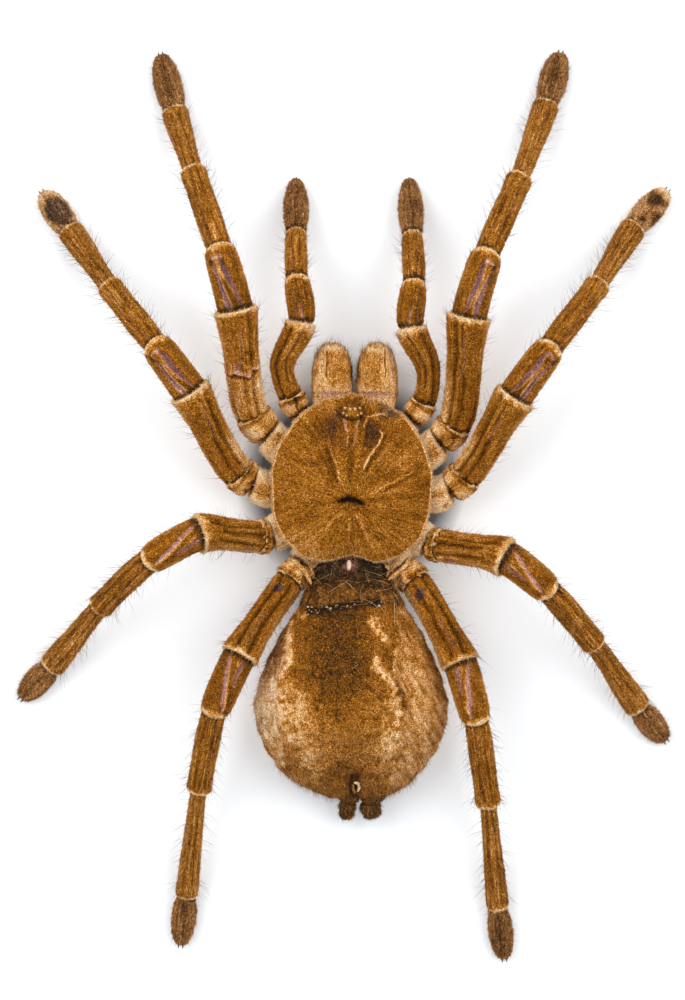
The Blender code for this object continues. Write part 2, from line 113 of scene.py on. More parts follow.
PALP_SEGMENTS = [
    ("trochanter", 1, 2, 0.02, 0.97, 0.3, 0.5, [(0.0, 5.8, 1.1), (0.5, 6.7, 1.12), (1.0, 6.4, 1.1)]),
    ("femur", 2, 4, -0.05, 0.98, 0.5, 0.35,
     [(0.0, 5.4, 1.2), (0.35, 5.2, 1.3), (0.6, 5.9, 1.22), (0.85, 6.9, 1.08), (1.0, 7.3, 1.0)]),
    ("patella", 4, 5, -0.06, 0.985, 0.4, 0.45,
     [(0.0, 5.9, 1.0), (0.15, 6.2, 1.05), (0.5, 6.5, 1.05), (0.8, 6.1, 1.03), (1.0, 5.3, 1.0)]),
    ("tibia", 5, 6, -0.12, 0.975, 0.3, 0.3,
     [(-0.1, 4.2, 1.0), (0.0, 4.9, 1.05), (0.4, 5.3, 1.0), (0.8, 5.0, 1.0), (1.0, 4.6, 1.0)]),
    ("tarsus", 6, 7, -0.06, 1.03, 0.0, 1.1,
     [(-0.1, 3.8, 0.95), (0.06, 4.8, 0.92), (0.28, 5.8, 0.85), (0.52, 5.9, 0.8), (0.75, 5.0, 0.76),
      (0.9, 3.8, 0.72), (1.0, 2.8, 0.7)]),
]
# Profiles of the coxae and maxillae, and how much thicker or thinner some segments are
COXA_PROFILE = [(0.0, 6.0, 1.1), (0.4, 7.6, 1.1), (0.75, 8.8, 1.0), (1.0, 8.6, 1.0)]
MAXILLA_PROFILE = [(0.0, 6.0, 1.1), (0.5, 7.0, 1.1), (0.85, 7.0, 1.1), (1.0, 6.6, 1.1)]
GIRTH = {
    "leg_1": {"femur": 1.05, "patella": 1.03},
    "leg_2": {"femur": 1.02, "patella": 1.02, "tibia": 0.98},
    "leg_3": {"trochanter": 0.95, "femur": 0.98, "patella": 0.98, "tibia": 0.98, "tarsus": 0.96},
    "leg_4": {"trochanter": 0.92, "femur": 0.94, "patella": 0.98, "tibia": 0.96, "metatarsus": 0.84,
              "tarsus": 0.88},
}

# How each segment is coloured: tone on top, added on the flanks (partly paler velvet, partly
# painted sheen where the pile catches the light), grey, how strong the fine lengthwise lines are,
# and how lumpy its felt is
SEGMENT_LOOK = {
    "trochanter": (0.72, 0.10, 0.05, 0.2, 0.04),
    "femur": (0.46, 0.21, 0.00, 0.35, 0.028),
    "patella": (0.40, 0.08, 0.00, 0.35, 0.018),
    "tibia": (0.46, 0.10, 0.02, 0.72, 0.022),
    "metatarsus": (0.47, 0.10, 0.10, 0.68, 0.022),
    "tarsus": (0.45, 0.10, 0.40, 0.6, 0.03),
}
# Velvet and bristle of each segment: pile length, bristles on each square mm of flank, and
# their length
SEGMENT_COAT = {
    "trochanter": (0.5, 0.10, 2.0),
    "femur": (0.48, 0.15, 3.4),
    "patella": (0.42, 0.10, 3.0),
    "tibia": (0.55, 0.36, 4.0),
    "metatarsus": (0.6, 0.36, 3.8),
    "tarsus": (0.7, 0.45, 1.3),
}
# Lengthwise grooves of the shrunken skin, by segment and leg: offset from the top at the
# near and the far end (radians, positive towards the limb's front side), half width at
# both ends, how dark (a darker line plus painted shade in the groove, and a painted highlight on its ridges),
# depth in mm, how bare, and the shares between which it runs
GROOVES = {
    ("femur", "12"): [(0.52, 0.66, 0.15, 0.12, 0.10, 0.95, 0.0, 0.02, 0.93),
                      (-0.12, 0.00, 0.20, 0.13, 0.08, 0.60, 0.0, 0.05, 0.50),
                      (0.00, 0.10, 0.07, 0.06, 0.06, 0.25, 0.35, 0.50, 0.80),
                      (-0.95, -1.10, 0.15, 0.12, 0.12, 0.70, 0.0, 0.00, 0.50),
                      (0.30, 0.22, 0.05, 0.04, 0.14, 0.10, 0.0, 0.55, 0.90)],
    ("femur", "3"): [(0.72, 0.58, 0.18, 0.13, 0.17, 0.80, 0.0, 0.02, 0.85),
                     (0.06, 0.24, 0.24, 0.14, 0.18, 0.85, 0.0, 0.02, 0.72),
                     (-0.55, -0.50, 0.16, 0.12, 0.10, 0.45, 0.0, 0.15, 0.75)],
    ("femur", "4"): [(0.68, 0.50, 0.14, 0.12, 0.13, 0.95, 0.0, 0.00, 0.94),
                     (-0.22, -0.34, 0.13, 0.17, 0.11, 0.85, 0.0, 0.12, 0.92),
                     (0.15, 0.05, 0.10, 0.07, 0.05, 0.25, 0.25, 0.55, 0.82)],
    ("femur", "p"): [(-0.55, -0.50, 0.19, 0.14, 0.14, 0.65, 0.0, 0.03, 0.90),
                     (0.28, 0.42, 0.13, 0.10, 0.10, 0.45, 0.15, 0.25, 0.92)],
    ("patella", "12"): [(0.42, -0.12, 0.08, 0.25, 0.05, 0.75, 1.0, 0.04, 0.80),
                        (-0.34, -0.64, 0.26, 0.09, 0.05, 0.75, 1.0, 0.04, 0.78)],
    ("patella", "34"): [(0.60, -0.42, 0.12, 0.17, -0.08, 0.50, 1.0, 0.06, 0.86),
                        (-0.38, -0.55, 0.22, 0.09, 0.04, 0.35, 0.7, 0.12, 0.55)],
    ("patella", "p"): [(0.22, 0.02, 0.17, 0.08, -0.02, 0.40, 0.75, 0.04, 0.46),
                       (0.02, -0.20, 0.05, 0.05, 0.12, 0.20, 0.0, 0.40, 0.90),
                       (-0.50, -0.42, 0.09, 0.05, 0.06, 0.25, 0.45, 0.08, 0.70)],
    ("tibia", "1234p"): [(0.50, 0.38, 0.16, 0.11, 0.05, 0.36, 0.0, 0.05, 0.90),
                         (-0.42, -0.38, 0.17, 0.11, 0.05, 0.36, 0.15, 0.05, 0.88)],
    ("metatarsus", "1234"): [(0.45, 0.35, 0.15, 0.11, 0.05, 0.28, 0.0, 0.05, 0.82),
                             (-0.45, -0.4, 0.15, 0.11, 0.05, 0.28, 0.0, 0.05, 0.82)],
}
# Dark bare spots near the base of the two hindmost femora: offset from the top
FEMUR_SPOTS = {"leg_4_left": 0.40, "leg_4_right": -0.20}


def seeded(name):
    """A random generator that always gives a piece the same numbers."""
    return np.random.default_rng(zlib.crc32(name.encode()))


def unit(vectors):
    """The same directions with a length of 1."""
    return vectors / np.maximum(np.linalg.norm(vectors, axis=-1, keepdims=True), 1e-9)


def smooth(x, low, high):
    """0 below low, 1 above high, and a smooth step between them."""
    t = np.clip((x - low) / (high - low), 0, 1)
    return t * t * (3 - 2 * t)


def within(x, start, stop, edge):
    """1 between start and stop, falling smoothly to 0 over the given edge outside them."""
    return smooth(x, start - edge, start) * (1 - smooth(x, stop, stop + edge))


def bell(x, width):
    """1 at x = 0, falling off as a bell curve."""
    return np.exp(-((x / width) ** 2))


def noise(points, size, seed=0):
    """Smooth random values from -1 to 1 in cells of the given size, blended with a smoothstep."""
    scaled = points / size
    cell = np.floor(scaled).astype(np.int64)
    t = scaled - cell
    t = t * t * (3 - 2 * t)
    total = np.zeros(points.shape[:-1])
    for corner in np.ndindex(2, 2, 2):
        at = cell + np.array(corner)
        key = (at[..., 0] * 73856093) ^ (at[..., 1] * 19349663) ^ (at[..., 2] * 83492791)
        key = key ^ (seed * 40503 + 977)
        key = (key ^ (key >> 13)) * 1274126177 & 0xFFFFFFFF
        value = ((key ^ (key >> 15)) & 0xFFFF) / 32767.5 - 1
        weight = np.prod(np.where(np.array(corner) == 1, t, 1 - t), axis=-1)
        total += value * weight
    return total


def layered_noise(points, size, seed=0):
    """Three layers of noise, each half as coarse and half as strong as the one before."""
    return (noise(points, size, seed) + 0.5 * noise(points, size / 2, seed + 1)
            + 0.25 * noise(points, size / 4, seed + 2)) / 1.75


def clumps(points):
    """How the tips of velvet gather: tiny tufts in loose groups, from -1 to 1."""
    return 0.7 * noise(points, 0.30, 3) + 0.3 * noise(points, 0.9, 9)


def profile_at(rows, share):
    """Values of a profile's columns at each share, between straight and eased from row to row."""
    rows = np.array(rows, float)
    k = np.clip(np.searchsorted(rows[:, 0], share, side="right") - 1, 0, len(rows) - 2)
    straight = np.clip((share - rows[k, 0]) / (rows[k + 1, 0] - rows[k, 0]), 0, 1)[..., None]
    t = 0.5 * (straight + straight * straight * (3 - 2 * straight))
    return np.moveaxis(rows[k, 1:] * (1 - t) + rows[k + 1, 1:] * t, -1, 0)


def near_line(x, y, start, end):
    """Distance from a straight line between two places, and how far along it the foot lies."""
    (ax, ay), (bx, by) = start, end
    t = np.clip(((x - ax) * (bx - ax) + (y - ay) * (by - ay)) / ((bx - ax) ** 2 + (by - ay) ** 2), 0, 1)
    return np.hypot(x - ax - t * (bx - ax), y - ay - t * (by - ay)), t


def near_path(x, y, path):
    """Distance from a path of straight runs, and the share of the path at its nearest place."""
    away, share = np.full(np.shape(x), 1e9), np.zeros(np.shape(x))
    runs = len(path) - 1
    for k in range(runs):
        here, t = near_line(x, y, path[k], path[k + 1])
        share = np.where(here < away, (k + t) / runs, share)
        away = np.minimum(away, here)
    return away, share


def stroke(x, y, path, width):
    """A soft line along a path, thin at both of its ends."""
    away, share = near_path(x, y, path)
    return bell(away, width) * smooth(share, 0, 0.12) * (1 - smooth(share, 0.88, 1))


def patch(x, y, centre, radii):
    """A soft oval spot."""
    return np.exp(-(((x - centre[0]) / radii[0]) ** 2 + ((y - centre[1]) / radii[1]) ** 2))


def limb_line(name, s):
    """Place and heading along a limb, with a whole number s at each joint.

    Each segment is a Hermite cubic. At a joint the line runs in the mean direction of the
    two segments that meet there.
    """
    points = np.array(JOINTS[name], float)
    steps = np.diff(points, axis=0)
    lengths = np.linalg.norm(steps, axis=1)
    heads = unit(steps)
    turns = np.vstack([heads[:1], unit(heads[:-1] + heads[1:]), heads[-1:]])
    k = np.clip(np.floor(s).astype(int), 0, len(lengths) - 1)
    t = (s - k)[..., None]
    pull = lengths[k][..., None] * (PALP_SOFTNESS if name.startswith("pedipalp") else LEG_SOFTNESS)
    start, end, go, leave = points[k], points[k + 1], turns[k] * pull, turns[k + 1] * pull
    place = (start * (2 * t**3 - 3 * t**2 + 1) + go * (t**3 - 2 * t**2 + t)
             + end * (3 * t**2 - 2 * t**3) + leave * (t**3 - t**2))
    heading = (start * (6 * t**2 - 6 * t) + go * (3 * t**2 - 4 * t + 1)
               + end * (6 * t - 6 * t**2) + leave * (3 * t**2 - 2 * t))
    return place, unit(heading)


def shell(points, tone, grey=0.0, bare=0.0, pile=0.0, density=0.0, first=None, last=None):
    """A closed grid surface with what it carries at each point.

    points is rings by sides by 3, each ring running so that the faces point out. The two
    ends close in a point: first and last, or the mean of the end rings.
    """
    size = points.shape[:2]
    first = points[0].mean(axis=0) if first is None else np.array(first, float)
    last = points[-1].mean(axis=0) if last is None else np.array(last, float)
    fill = [np.broadcast_to(np.asarray(v, float), size) for v in (tone, grey, bare, pile, density)]
    marks = np.stack([np.clip(fill[0], 0.02, 0.98), np.clip(fill[1], 0, 1), np.clip(fill[2], 0, 1)], -1)
    return {"points": points, "first": first, "last": last, "marks": marks,
            "pile": fill[3], "density": fill[4]}


def normals_of(points):
    """Outward normals and along-ring directions of a grid, from its central differences."""
    along = np.gradient(points, axis=0)
    around = np.roll(points, -1, axis=1) - np.roll(points, 1, axis=1)
    return unit(np.cross(along, around)), unit(along)


def ring_angles(sides, crowd=0.0):
    """Angles round a ring, closer together at its top: a + crowd * cos(a)."""
    a = np.arange(sides) / sides * 2 * np.pi
    return a + crowd * np.cos(a)


def grid(along, angles):
    """Two arrays of one shape: the place along a form and the angle round it."""
    return np.meshgrid(along, angles, indexing="ij")


def oval(heading, angle, width, ratio=1.0):
    """Rings across a heading: side * width / 2 * cos(angle), and upwards ratio times as
    much with sin(angle)."""
    side = unit(np.cross(heading, UP))
    up = np.cross(side, heading)
    across, above = np.cos(angle) * width / 2, np.sin(angle) * width * ratio / 2
    return side * across[..., None] + up * above[..., None]


def rounded(x, least=0.0):
    """Rises from 0 to 1 along a quarter of a circle while x goes from 0 to 1."""
    return np.sqrt(np.clip(1 - (1 - np.clip(x, 0, 1)) ** 2, least, 1))


def squarer(value, fullness):
    """A sine or cosine for a fuller ring: its size to the power 2 / fullness, its sign kept."""
    return np.sign(value) * np.abs(value) ** (2 / fullness)


def towards(value, goal, share):
    """The value, carried a share of the way to a goal."""
    return value + (goal - value) * share


def span(name, first, last):
    """Length of a limb between two of its joints."""
    steps = np.diff(np.array(JOINTS[name][first:last + 1], float), axis=0)
    return np.linalg.norm(steps, axis=1).sum()


def mesh_from(name, vertices, faces, material, marks=None, uv=None, soft=True):
    """Puts arrays into a mesh object: faces are rows of 3 or 4 vertex numbers, -1 for none."""
    faces = np.asarray(faces)
    counts = (faces >= 0).sum(axis=1)
    corners = faces[faces >= 0]
    mesh = bpy.data.meshes.new(name)
    mesh.vertices.add(len(vertices))
    mesh.vertices.foreach_set("co", ((vertices + shift) * MM).astype(np.float32).ravel())
    mesh.loops.add(len(corners))
    mesh.loops.foreach_set("vertex_index", corners.astype(np.int32))
    mesh.polygons.add(len(counts))
    starts = np.concatenate([[0], np.cumsum(counts)[:-1]])
    mesh.polygons.foreach_set("loop_start", starts.astype(np.int32))
    mesh.polygons.foreach_set("use_smooth", np.full(len(counts), soft))
    if uv is not None:
        layer = mesh.uv_layers.new(name="OFBake")
        layer.data.foreach_set("uv", uv[faces >= 0].astype(np.float32).ravel())
    if marks is not None:
        layer = mesh.attributes.new("marks", "FLOAT_COLOR", "POINT")
        rgba = np.column_stack([marks, np.ones(len(marks))]).astype(np.float32)
        layer.data.foreach_set("color", rgba.ravel())
    mesh.update(calc_edges=True)
    mesh.validate()
    mesh.materials.append(material)
    piece = bpy.data.objects.new(name, mesh)
    bpy.context.scene.collection.objects.link(piece)
    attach(piece, "root")
    return piece


def skin(name, shells, material):
    """One mesh of closed shells, each with its own band of the UV map."""
    vertices, faces, marks, uvs = [], [], [], []
    rows_in_all = sum(len(s["points"]) + 3 for s in shells)
    base, row = 0, 1
    for s in shells:
        n, m = s["points"].shape[:2]
        index = np.arange(n * m).reshape(n, m) + base
        i, j = grid(np.arange(n - 1), np.arange(m))
        corners = ((i, j), (i + 1, j), (i + 1, j + 1), (i, j + 1))
        faces.append(np.stack([index[v, u % m] for v, u in corners], -1).reshape(-1, 4))
        places = [np.stack([u / m, (row + v) / rows_in_all], -1) for v, u in corners]
        uvs.append(np.stack(places, -2).reshape(-1, 4, 2))
        # A fan at each end, from its middle point to the end ring
        j = np.arange(m)
        for end, order, level, reach in ((0, 1, row, -0.9), (1, -1, row + n - 1, 0.9)):
            sides = (j, j + 1)[::order]
            fan = [np.full(m, base + n * m + end), *(index[-end, u % m] for u in sides), np.full(m, -1)]
            faces.append(np.stack(fan, -1))
            places = [((j + 0.5) / m, level + reach), *((u / m, level) for u in sides), (0 * j, 0)]
            uvs.append(np.stack([np.stack([u, v / rows_in_all + 0 * j], -1) for u, v in places], -2))
        vertices += [s["points"].reshape(-1, 3), s["first"][None], s["last"][None]]
        at_ends = [s["marks"][end].mean(axis=0)[None] for end in (0, -1)]
        marks += [s["marks"].reshape(-1, 3), *at_ends]
        base += n * m + 2
        row += n + 3
    return mesh_from(name, np.concatenate(vertices), np.concatenate(faces), material,
                     np.concatenate(marks), np.concatenate(uvs))


def scatter(s, rng, density):
    """Random places on a shell: point, normal, along, marks and pile length at each.

    The number on each cell follows its area times the density, and each place is mixed
    from the cell's four corners.
    """
    points = s["points"]
    n, m = points.shape[:2]
    normal, along = normals_of(points)
    d = np.broadcast_to(density, (n, m))
    beside, d_beside = np.roll(points, -1, axis=1), np.roll(d, -1, axis=1)
    area = np.linalg.norm(np.cross(points[1:] - points[:-1], beside[:-1] - points[:-1]), axis=-1)
    load = area * 0.25 * (d[:-1] + d[1:] + d_beside[:-1] + d_beside[1:])
    total = load.sum()
    count = int(total)
    pick = np.searchsorted(np.cumsum(load.ravel()), rng.random(count) * total)
    i, j = np.unravel_index(np.minimum(pick, load.size - 1), load.shape)
    a, b = rng.random((2, count, 1))
    after = (j + 1) % m

    def mix(values):
        return ((values[i, j] * (1 - a) + values[i + 1, j] * a) * (1 - b)
                + (values[i, after] * (1 - a) + values[i + 1, after] * a) * b)

    return {"root": mix(points), "normal": unit(mix(normal)), "along": unit(mix(along)),
            "marks": mix(s["marks"]), "pile": mix(s["pile"][..., None])[:, 0]}


def strands(root, aim, length, width, tone, grey, bend=None, joints=1):
    """Hairs: three-sided spikes from a root along an aim, narrowing to a point.

    A place at share t of a hair is root + aim * length * t + bend * length * t^2.
    """
    return {"root": root, "aim": unit(aim), "length": length, "width": width, "tone": tone, "grey": grey,
            "bend": np.zeros_like(root) if bend is None else bend, "joints": joints}


def coat(name, groups, material, rng):
    """One mesh of hairs. Their UV map holds the tone across and the grey up, so that the
    hair's colour is a function of the map alone."""
    vertices, faces, uvs = [], [], []
    base = 0
    for g in [g for g in groups if len(g["root"])]:
        count, k = len(g["root"]), g["joints"]
        aside = unit(np.cross(g["aim"], rng.normal(size=(count, 3))))
        other = np.cross(g["aim"], aside)
        shares = np.linspace(0, 1, k + 1)[:-1]
        ring = []
        for t in shares:
            centre = g["root"] + (g["aim"] * t + g["bend"] * t * t) * g["length"][:, None]
            half = (g["width"] * 0.5 * (1 - t) ** 0.7)[:, None]
            ring += [centre + (aside * math.cos(a) + other * math.sin(a)) * half for a in HAIR_SIDES]
        tip = g["root"] + (g["aim"] + g["bend"]) * g["length"][:, None]
        points = np.stack(ring + [tip], axis=1)
        points[..., 2] = np.maximum(points[..., 2], LEAST_HEIGHT)
        # One hair's faces: its foot, its sides ring by ring, and its tip
        sides = [(a, (a + 1) % 3) for a in range(3)]
        shape = [(0, 2, 1, -1)]
        shape += [(r + a, r + b, r + 3 + b, r + 3 + a) for r in range(0, 3 * k - 3, 3) for a, b in sides]
        shape += [(3 * k - 3 + a, 3 * k - 3 + b, 3 * k, -1) for a, b in sides]
        shape = np.array(shape)
        number = base + np.arange(count)[:, None, None] * (3 * k + 1)
        faces.append(np.where(shape[None] < 0, -1, shape[None] + number).reshape(-1, 4))
        t = np.append(np.repeat(shares, 3), 1.0)
        u = g["tone"][:, None] + 0.14 * (t - 0.4) + np.append(np.tile([0.0, 0.012, -0.012], k), 0.0)
        v = g["grey"][:, None] + np.append(np.tile([-0.02, 0.0, 0.02], k), 0.0)
        uv = np.clip(np.stack([u, v], -1), 0.01, 0.99)
        uvs.append(np.take(uv, np.maximum(shape, 0), axis=1).reshape(-1, 4, 2))
        vertices.append(points.reshape(-1, 3))
        base += count * (3 * k + 1)
    return mesh_from(name, np.concatenate(vertices), np.concatenate(faces), material,
                     uv=np.concatenate(uvs), soft=False)


def dress(name, node, shells, hairs, rng):
    """A skin that stands for a solid, and the coat of hairs on it."""
    piece = skin(name + "_skin", shells, velvet_skin)
    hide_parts(node)
    fur = coat(name + "_hair", hairs, velvet_hair, rng)


def velvet(s, rng, lean=1.0, share_below=0.25, width=0.16, speckle=0.15, against=False):
    """The short pile of a shell: it leans along the shell, denser where it faces up, and its
    tips gather in tufts that are lighter or darker than the skin below."""
    normal, _ = normals_of(s["points"])
    facing = smooth(normal[..., 2], -0.55, 0.15)
    place = scatter(s, rng, s["density"] * (share_below + (1 - share_below) * facing))
    count = len(place["root"])
    way = -place["along"] if against else place["along"]
    aim = place["normal"] * 0.75 + way * lean + rng.normal(size=(count, 3)) * 0.35
    length = place["pile"] * rng.uniform(0.6, 1.3, count)
    tone = place["marks"][:, 0] + speckle * clumps(place["root"]) + rng.uniform(-0.29, 0.24, count)
    tone = tone - 0.15 * place["marks"][:, 2]
    return strands(place["root"] - place["normal"] * 0.04, aim, length, rng.uniform(0.7, 1.2, count) * width,
                   tone, place["marks"][:, 1])


def bristles(s, rng, per_mm2, length, tone=0.15, grey=0.45, out=0.9, forward=0.6, width=0.068, spread=0.28):
    """Long thin bristles that stand off a shell and curve along it towards its far end."""
    place = scatter(s, rng, per_mm2)
    count = len(place["root"])
    aim = place["normal"] * out + place["along"] * forward + rng.normal(size=(count, 3)) * spread
    size = length * rng.uniform(0.4, 1.25, count)
    bend = place["along"] * rng.uniform(0.1, 0.45, (count, 1)) + rng.normal(size=(count, 3)) * 0.08
    return strands(place["root"] - place["normal"] * 0.05, aim, size, rng.uniform(0.75, 1.25, count) * width,
                   tone + rng.normal(size=count) * 0.07, np.full(count, grey), bend, joints=3)


def threads(s, rng, per_mm2, length, tone, grey, width=0.09):
    """Loose fibres that lie across a shell in all directions."""
    place = scatter(s, rng, per_mm2)
    count = len(place["root"])
    around = unit(np.cross(place["normal"], place["along"]))
    turn = rng.uniform(0, 2 * np.pi, (count, 1))
    aim = place["along"] * np.cos(turn) + around * np.sin(turn)
    aim = aim + place["normal"] * rng.uniform(0.0, 0.18, (count, 1))
    bend = around * rng.normal(size=(count, 1)) * 0.25 - place["normal"] * 0.1
    root = place["root"] + place["normal"] * rng.uniform(0.1, 0.6, (count, 1))
    return strands(root, aim, length * rng.uniform(0.4, 1.3, count), rng.uniform(0.7, 1.2, count) * width,
                   tone + rng.normal(size=count) * 0.1, np.full(count, grey), bend, joints=3)


def crumb(centre, size, tone, grey):
    """A tiny lump of dried matter."""
    return ball(centre, (size, size * 0.8, size * 0.7), tone, grey, rings=5, sides=7)


def ball(centre, radii, tone=0.1, grey=0.0, rings=12, sides=16, bare=0.0, lumps=0.0, density=0.0):
    """An ellipsoid: centre + radii * (sin p cos a, sin p sin a, -cos p), roughened by lumps."""
    centre = np.array(centre)
    p, a = grid(np.linspace(0.12, np.pi - 0.12, rings), -ring_angles(sides))
    away = np.stack([np.sin(p) * np.cos(a), np.sin(p) * np.sin(a), -np.cos(p)], -1) * np.array(radii)
    points = away * (1 + lumps * layered_noise(away + centre, 1.4))[..., None] + centre
    return shell(points, tone, grey, bare, 0.5, density, centre - UP * radii[2], centre + UP * radii[2])


def limb_segment(limb_name, segment, girth, before, rng):
    """One segment of a limb as a closed shell round the limb's line.

    At share t of the segment and angle a from its side, a point is the line's place plus
    side * width / 2 * cos(a) + up * height / 2 * sin(a), with both half axes rounded in at
    the two ends, sunk along lengthwise grooves, and roughened with noise. The far rim is
    carried forward on top, and the mouth behind it turns inwards. An offset o is the angle
    from the top, positive on the limb's front side, so that left and right limbs match.
    """
    kind, first, last, start, stop, arch, rounding, rows = segment
    palp = limb_name.startswith("pedipalp")
    code = "p" if palp else limb_name[4]
    length = span(limb_name, first, last)
    share = np.linspace(start, stop, max(14, int((stop - start) * length / 0.5)))
    ends = np.array([0.05, 0.12, 0.22, 0.35, 0.6]) / length
    share = np.unique(np.concatenate([share, start + ends, stop - ends]))
    t, a = grid(share, ring_angles(76, 0.52))
    width, ratio = profile_at(rows, t) * np.array([girth, 1.0])[:, None, None]
    top = np.sin(a)
    offset = (np.pi / 2 - a) if limb_name.endswith("left") else (a - np.pi / 2)
    offset = np.angle(np.exp(1j * offset))
    from_start, to_stop = (t - start) * length, (stop - t) * length
    round_in, round_out = rounded(from_start, 0.05), rounded(to_stop / rounding)
    if kind == "tarsus":
        round_out = np.maximum(round_out, 0.25)
    else:
        least = 0.80 if kind == "trochanter" else 0.9
        round_out = least + (1 - least) * round_out
    spans = last - first
    s = first + t * spans + arch / length * spans * np.maximum(top, -0.3) * smooth(t, 0.55, 1.0)
    place, heading = limb_line(limb_name, s)
    base = place + oval(heading, a, width, ratio)

    # Grooves of the shrunken skin, with a broad low ridge on both sides of each: each groove gets a darker
    # line and painted shade, and its ridges a painted highlight
    look_tone, flank, grey, fine_lines, lumps = SEGMENT_LOOK[kind]
    sink, dark, bare, pale_edge = (np.zeros_like(t) for _ in range(4))
    for at_start, at_end, half_start, half_end, darker, depth, purple, t0, t1 in groove_list(kind, code):
        run = np.clip((t - t0) / (t1 - t0), 0, 1)
        sway = 0.06 * np.sin(t * rng.uniform(5, 9) + rng.uniform(0, 6)) + 0.07 * noise(base + 70.0, 1.8)
        sway = sway + 0.03 * noise(base + 77.0, 0.6)
        away = offset - (at_start + (at_end - at_start) * run) - sway
        half = half_start + (half_end - half_start) * run
        if purple > 0.5:
            half = half * (0.35 + 0.65 * within(run, 0.22, 0.78, 0.24))
        along = within(t, t0, t1, 0.05)
        groove = bell(away, half) * along
        sink = sink + depth * groove - 0.35 * depth * bell(np.abs(away) - 2.3 * half, 1.1 * half) * along
        # Painted shade along the groove round its darker core line, and a painted highlight on the ridges
        # beside it
        dark = dark + darker * (0.6 * bell(away, 0.95 * half) + 0.7 * bell(away, 0.3 * half)) * along
        dark = dark - 0.30 * darker * bell(np.abs(away) - 2.3 * half, 1.1 * half) * along
        bare = bare + purple * smooth(bell(away, half), 0.30, 0.62) * along
        inner = bell(away + np.sign(at_start) * 1.15 * half, 0.45 * half)
        pale_edge = pale_edge + purple * inner * along * smooth(np.abs(at_start - at_end), 0.0, 0.2)
    dent = layered_noise(base + rng.uniform(0, 50, 3), 4.5)
    felt = layered_noise(base + 31.0, 1.2)
    # Paler flanks: partly the velvet's own colour, partly painted sheen where the pile catches the light
    tone = look_tone + flank * smooth(-top, -0.75, 0.1)
    body = within(t, 0.06, 0.9, 0.06)
    lines = noise(np.stack([offset * 5.5, t * length * 0.22, 0 * t], -1) + rng.uniform(0, 90, 3), 1.0)
    hairlines = noise(np.stack([offset * 15, t * length * 0.3, 0 * t], -1) + rng.uniform(0, 90, 3), 1.0)
    lined = 0.22 * smooth(hairlines, 0.2, 0.7) - 0.18 * smooth(-hairlines, 0.2, 0.7)
    tone = tone + fine_lines * body * lined + 0.06 * lines * body
    tone = tone + 0.08 * layered_noise(base + 11.0, 2.2) + 0.05 * noise(base + 19.0, 6.0)

    if kind == "femur":
        marked, tone, bare = femur_marks(limb_name, code, t, top, offset, tone, bare, base)
        sink = sink + marked
    if kind == "patella":
        if code in "12":
            crook = bell(t - 0.77, 0.035) * bell(offset + 0.78, 0.11)
            arch_line = bell(t - 0.82 + 0.05 * np.abs(offset + 0.3), 0.022) * within(offset, -0.75, 0.0, 0.08)
            slant = 0.3 * (0.5 - t)
            between = within(offset, -0.22 + slant, 0.12 + slant, 0.08) * within(t, 0.1, 0.72, 0.08)
            tone, dark = tone + 0.26 * arch_line - 0.12 * between, dark + 0.50 * crook
            bare, sink = bare + 0.7 * arch_line + 0.3 * crook, sink + 0.5 * crook
        tone = tone + 0.12 * smooth(np.abs(offset), 0.7, 1.3) * smooth(t, 0.2, 0.5)
    if kind == "tarsus":
        tone = tone - 0.12 * bell(offset, 0.3) * within(t, 0.15, 0.85, 0.1)
        if code == "2":
            spots = smooth(layered_noise(base, 3.0), -0.15, 0.3) * within(t, 0.2, 0.72, 0.1)
            spots = spots * smooth(top, 0.0, 0.6)
            if limb_name.endswith("left"):
                away = np.hypot((t - 0.42) / 0.34, (offset - 0.15) / 1.05) + 0.10 * noise(base, 1.0)
                spots = 0.75 * smooth(away, 1.1, 0.8)
                grey = grey + 0.5 * spots
            tone = tone + 0.20 - 0.40 * spots + 0.20 * smooth(t, 0.76, 0.92)
    if kind == "trochanter":
        folded, felt_tone, felt_bare = felt_folds(base, offset, from_start)
        sink, bare = sink + folded, bare + felt_bare * smooth(to_stop, 3.0, 1.5)
        tone = felt_tone - 0.06 - 0.30 * smooth(to_stop, 1.9, 1.0) * smooth(to_stop, 0.2, 0.8)
    swell = round_in * round_out * (1 + lumps * dent + 0.012 * felt - sink / (width / 2))
    points = place + (base - place) * swell[..., None]
    points[..., 2] = np.maximum(points[..., 2], LEAST_HEIGHT)

